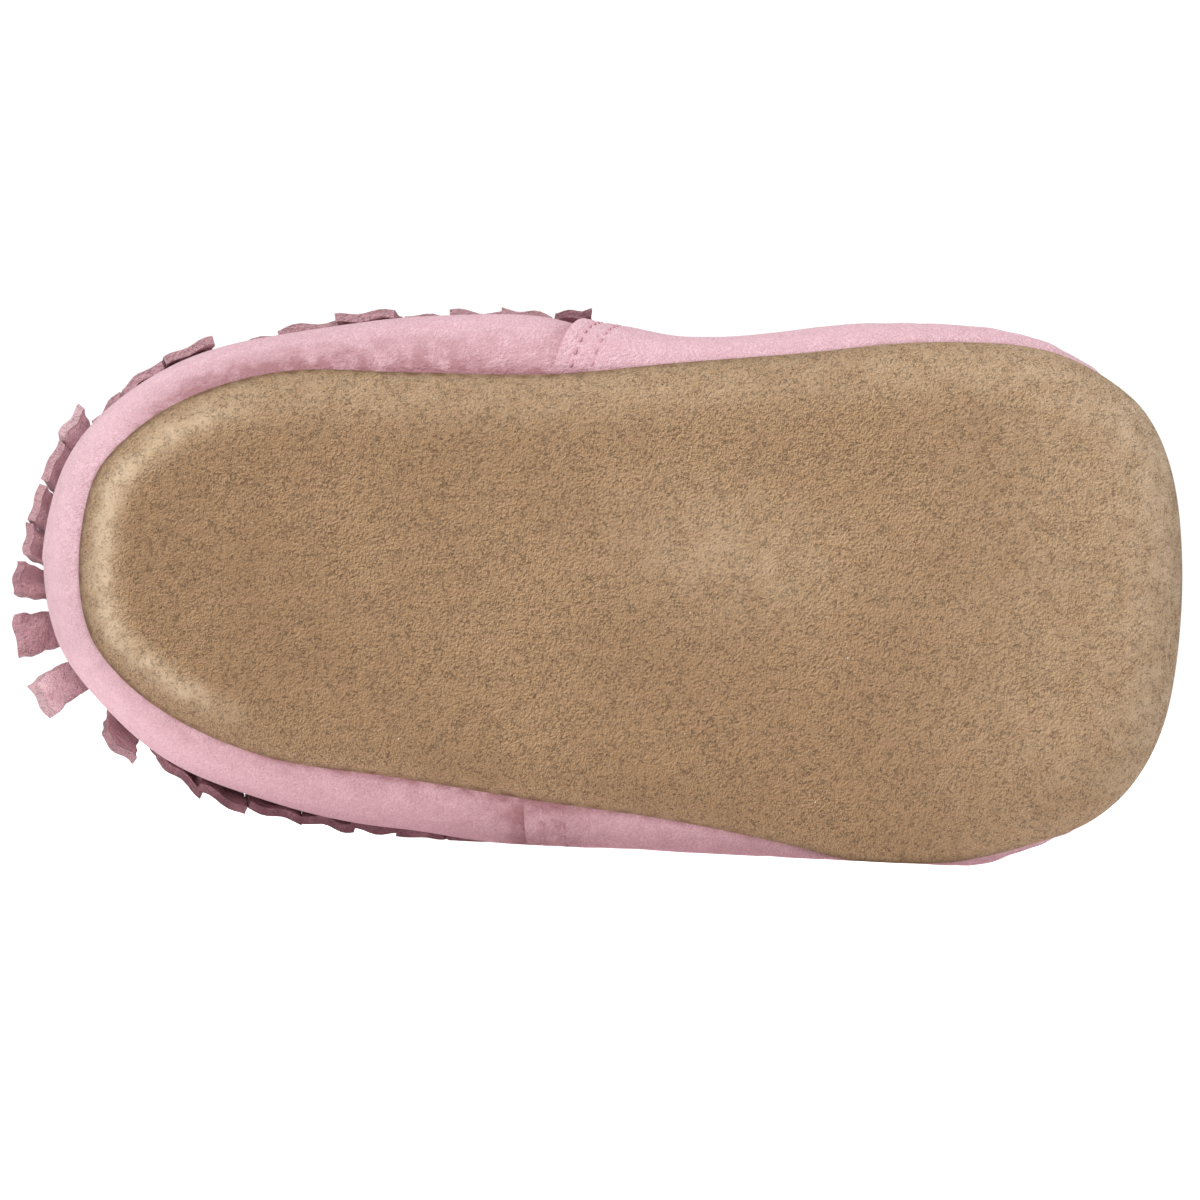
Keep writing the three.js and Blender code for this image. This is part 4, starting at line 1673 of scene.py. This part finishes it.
@dataclass
class Stitches:
    """Sunk running stitches in two rows along each lap, in millimetres.

    Attributes:
        form: The shoe's surfaces.
        pitch: From one stitch to the next.
        length: Length of a stitch.
        radius: Half the thickness of the thread.
        first: From the row's start to its first stitch.
        span: Rises of the wall at which a row starts and ends.
        row_sink: How far the row lies below the lap's face.
        end_sink: How far a stitch's ends lie below the row.
        arch: How far its middle stands above its ends.
        row_samples: Points along a row.
        stitch_samples: Points along a stitch.
        thread_sides: Sides of the thread.
        end_sharpness: How late its ends taper.
        end_size: Least thickness at its ends, squared, as a share.
        crease: Angle past which an edge of the thread stays sharp.
    """

    form: ShoeForm
    pitch: float = 1.8
    length: float = 1.0
    radius: float = 0.18
    first: float = 0.4
    span: tuple = (0.02, 0.97)
    row_sink: float = 0.16
    end_sink: float = 0.16
    arch: float = 0.24
    row_samples: int = 400
    stitch_samples: int = 9
    thread_sides: int = 8
    end_sharpness: int = 6
    end_size: float = 0.08
    crease: float = 80.0

    def build(self, finish: bpy.types.Material) -> bpy.types.Object:
        """Makes every stitch of the laps as one piece.

        Args:
            finish: Its material.

        Returns:
            The new piece.
        """
        parts = MeshParts()
        for side in Side:
            for offset in STITCH_ROWS:
                self.add_row(parts, np.mod(self.form.lap_place(side) + side.value * offset, 2.0))
        return dress("lap_stitches", parts, finish, crease=self.crease)

    def add_row(self, parts: MeshParts, place: float) -> None:
        """Adds a row of stitches up the wall.

        Args:
            parts: Skins that it goes to.
            place: The row's place on the loop round the sole.
        """
        rise = np.linspace(*self.span, self.row_samples)
        at = np.full_like(rise, place)
        line = self.form.off_wall(at, rise, self.form.lap_lift(at, rise) - self.row_sink)
        normal = self.form.wall_normal(at, rise)
        run = np.concatenate([[0], np.cumsum(np.linalg.norm(np.diff(line, axis=0), axis=1))])
        arch = self.arch * np.sin(np.linspace(0, np.pi, self.stitch_samples)) - self.end_sink
        for start in np.arange(self.first, run[-1] - self.length, self.pitch):
            steps = np.linspace(start, start + self.length, self.stitch_samples)
            path, up = (np.stack([np.interp(steps, run, track[:, k]) for k in range(3)], -1)
                        for track in (line, normal))
            self.add_stitch(parts, path + up * arch[:, None], up)

    def add_stitch(self, parts: MeshParts, path: Points, up: Points) -> None:
        """Adds one thread.

        Args:
            parts: Skins that it goes to.
            path: Points along its middle.
            up: Direction out of the leather at each of them.
        """
        ahead = np.gradient(path, axis=0)
        ahead /= np.linalg.norm(ahead, axis=1, keepdims=True)
        side = np.cross(ahead, up)
        side /= np.linalg.norm(side, axis=1, keepdims=True)
        angle = np.linspace(0, 2 * np.pi, self.thread_sides, endpoint=False)[None, :, None]
        taper = 1 - np.linspace(-1, 1, len(path)) ** self.end_sharpness
        size = self.radius * np.sqrt(np.clip(taper, self.end_size, 1))[:, None, None]
        rings = path[:, None] + size * (np.cos(angle) * side[:, None] + np.sin(angle) * up[:, None])
        parts.add_rings(self.form.placed(rings), Ends.FANNED)


@dataclass
class Stage:
    """White floor, even white surroundings, one soft key light and the camera.

    Attributes:
        form: The shoe's surfaces.
        distance: From the camera to the sole, in metres.
        frame_width: Width of the picture at the sole, in metres.
        centre_along: Point of the sole in the picture's middle, millimetres from the heel.
        centre_across: The same across the sole.
        photo_tilt: How far the shoe is turned in the picture.
        sensor_width: Width of the camera's sensor, in millimetres.
        sight: How far the camera sees, in metres.
        fill: Strength of the surroundings' light on the shoe.
        seen_white: Strength that the eye sees of them.
        floor_half: Half the floor's width, in metres.
        floor_white: The floor's colour.
        floor_roughness: Its roughness.
        floor_glow: How strongly it glows onto the shoe.
        seen_glow: How much more the eye sees of that glow.
        key_power: Power of the key light.
        key_size: Its width, in metres.
        key_place: Where it hangs.
        key_aim: Where it looks.
    """

    form: ShoeForm
    distance: float = 4.0
    frame_width: float = 0.13242
    centre_along: float = 57.7
    centre_across: float = -2.54
    photo_tilt: float = math.radians(1.866)
    sensor_width: float = 36.0
    sight: float = 100.0
    fill: float = 0.42
    seen_white: float = 1.05
    floor_half: float = 6.0
    floor_white: tuple = (0.9, 0.9, 0.9, 1)
    floor_roughness: float = 0.9
    floor_glow: float = 0.42
    seen_glow: float = 0.6
    key_power: float = 7.15
    key_size: float = 0.45
    key_place: tuple = (-0.14, -0.46, 0.8)
    key_aim: tuple = (0.0, 0.0, 0.03)

    def build(self) -> None:
        """Builds the surroundings, the floor, the light and the camera."""
        self.world()
        self.floor()
        self.key_light()
        self.camera()
        view = bpy.context.scene.view_settings
        view.view_transform = "Standard"
        view.look = "None"

    def world(self) -> None:
        """White all round: plain white to the eye, a softer fill for the shoe."""
        world = bpy.data.worlds.new("white_room")
        world.use_nodes = True
        bpy.context.scene.world = world
        bench = NodeBench(world.node_tree)
        back = world.node_tree.nodes["Background"]
        back.inputs["Color"].default_value = (1, 1, 1, 1)
        seen = bench.add("ShaderNodeLightPath").outputs["Is Camera Ray"]
        extra = bench.maths("MULTIPLY", seen, self.seen_white - self.fill)
        bench.join(bench.maths("ADD", extra, self.fill), back.inputs["Strength"])

    def floor(self) -> None:
        """A wide pale floor that the shoe lies on."""
        mesh = bpy.data.meshes.new("floor")
        half = self.floor_half
        mesh.from_pydata([(-half, -half, 0), (half, -half, 0), (half, half, 0), (-half, half, 0)],
                         [], [(0, 1, 2, 3)])
        floor = bpy.data.objects.new("floor", mesh)
        bpy.context.scene.collection.objects.link(floor)
        material = bpy.data.materials.new("pale_floor")
        material.use_nodes = True
        bench = NodeBench(material.node_tree)
        shader = material.node_tree.nodes["Principled BSDF"]
        for label, value in (("Base Color", self.floor_white), ("Roughness", self.floor_roughness),
                             ("Specular IOR Level", 0.0), ("Emission Color", (1, 1, 1, 1))):
            shader.inputs[label].default_value = value
        seen = bench.add("ShaderNodeLightPath").outputs["Is Camera Ray"]
        glow = bench.maths("ADD", bench.maths("MULTIPLY", seen, self.seen_glow), self.floor_glow)
        bench.join(glow, shader.inputs["Emission Strength"])
        mesh.materials.append(material)

    def key_light(self) -> None:
        """One broad light above the shoe, on the side of its sole."""
        data = bpy.data.lights.new("key", "AREA")
        data.shape = "DISK"
        data.size = self.key_size
        data.energy = self.key_power
        light = bpy.data.objects.new("key", data)
        light.location = self.key_place
        aim = Vector(self.key_aim) - light.location
        light.rotation_euler = aim.to_track_quat("-Z", "Y").to_euler()
        bpy.context.scene.collection.objects.link(light)

    def camera(self) -> None:
        """Looks square at the sole from far off, rolled as the photo is."""
        centre = self.form.placed(np.array([self.centre_along, 0.0, self.centre_across]))
        data = bpy.data.cameras.new("camera")
        data.sensor_width = self.sensor_width
        data.lens = self.sensor_width * self.distance / self.frame_width
        data.clip_end = self.sight
        roll = self.form.sizes.floor_slope + self.photo_tilt
        right = Vector((math.cos(roll), 0, math.sin(roll)))
        up = Vector((-math.sin(roll), 0, math.cos(roll)))
        camera = bpy.data.objects.new("camera", data)
        turn = Matrix((right, up, Vector((0, -1, 0)))).transposed()
        eye = Vector((float(centre[0]), float(centre[1]) - self.distance, float(centre[2])))
        camera.matrix_world = Matrix.Translation(eye) @ turn.to_4x4()
        bpy.context.scene.collection.objects.link(camera)
        bpy.context.scene.camera = camera


def main() -> None:
    """Builds the stage and every piece of the shoe."""
    logging.basicConfig(level=logging.INFO, format="%(message)s")
    form = ShoeForm(ShoeSizes())
    finishes = Finishes()
    Stage(form).build()
    built = [
        Sole(form).build(finishes.sole),
        Insole(form).build(finishes.lining),
        Upper(form).build(finishes.upper),
        Fringe(form).build(finishes.fringe),
        Stitches(form).build(finishes.thread),
    ]
    for piece in built:
        LOG.info("%s: %d faces", piece.name, len(piece.data.polygons))


if __name__ == "__main__":
    main()
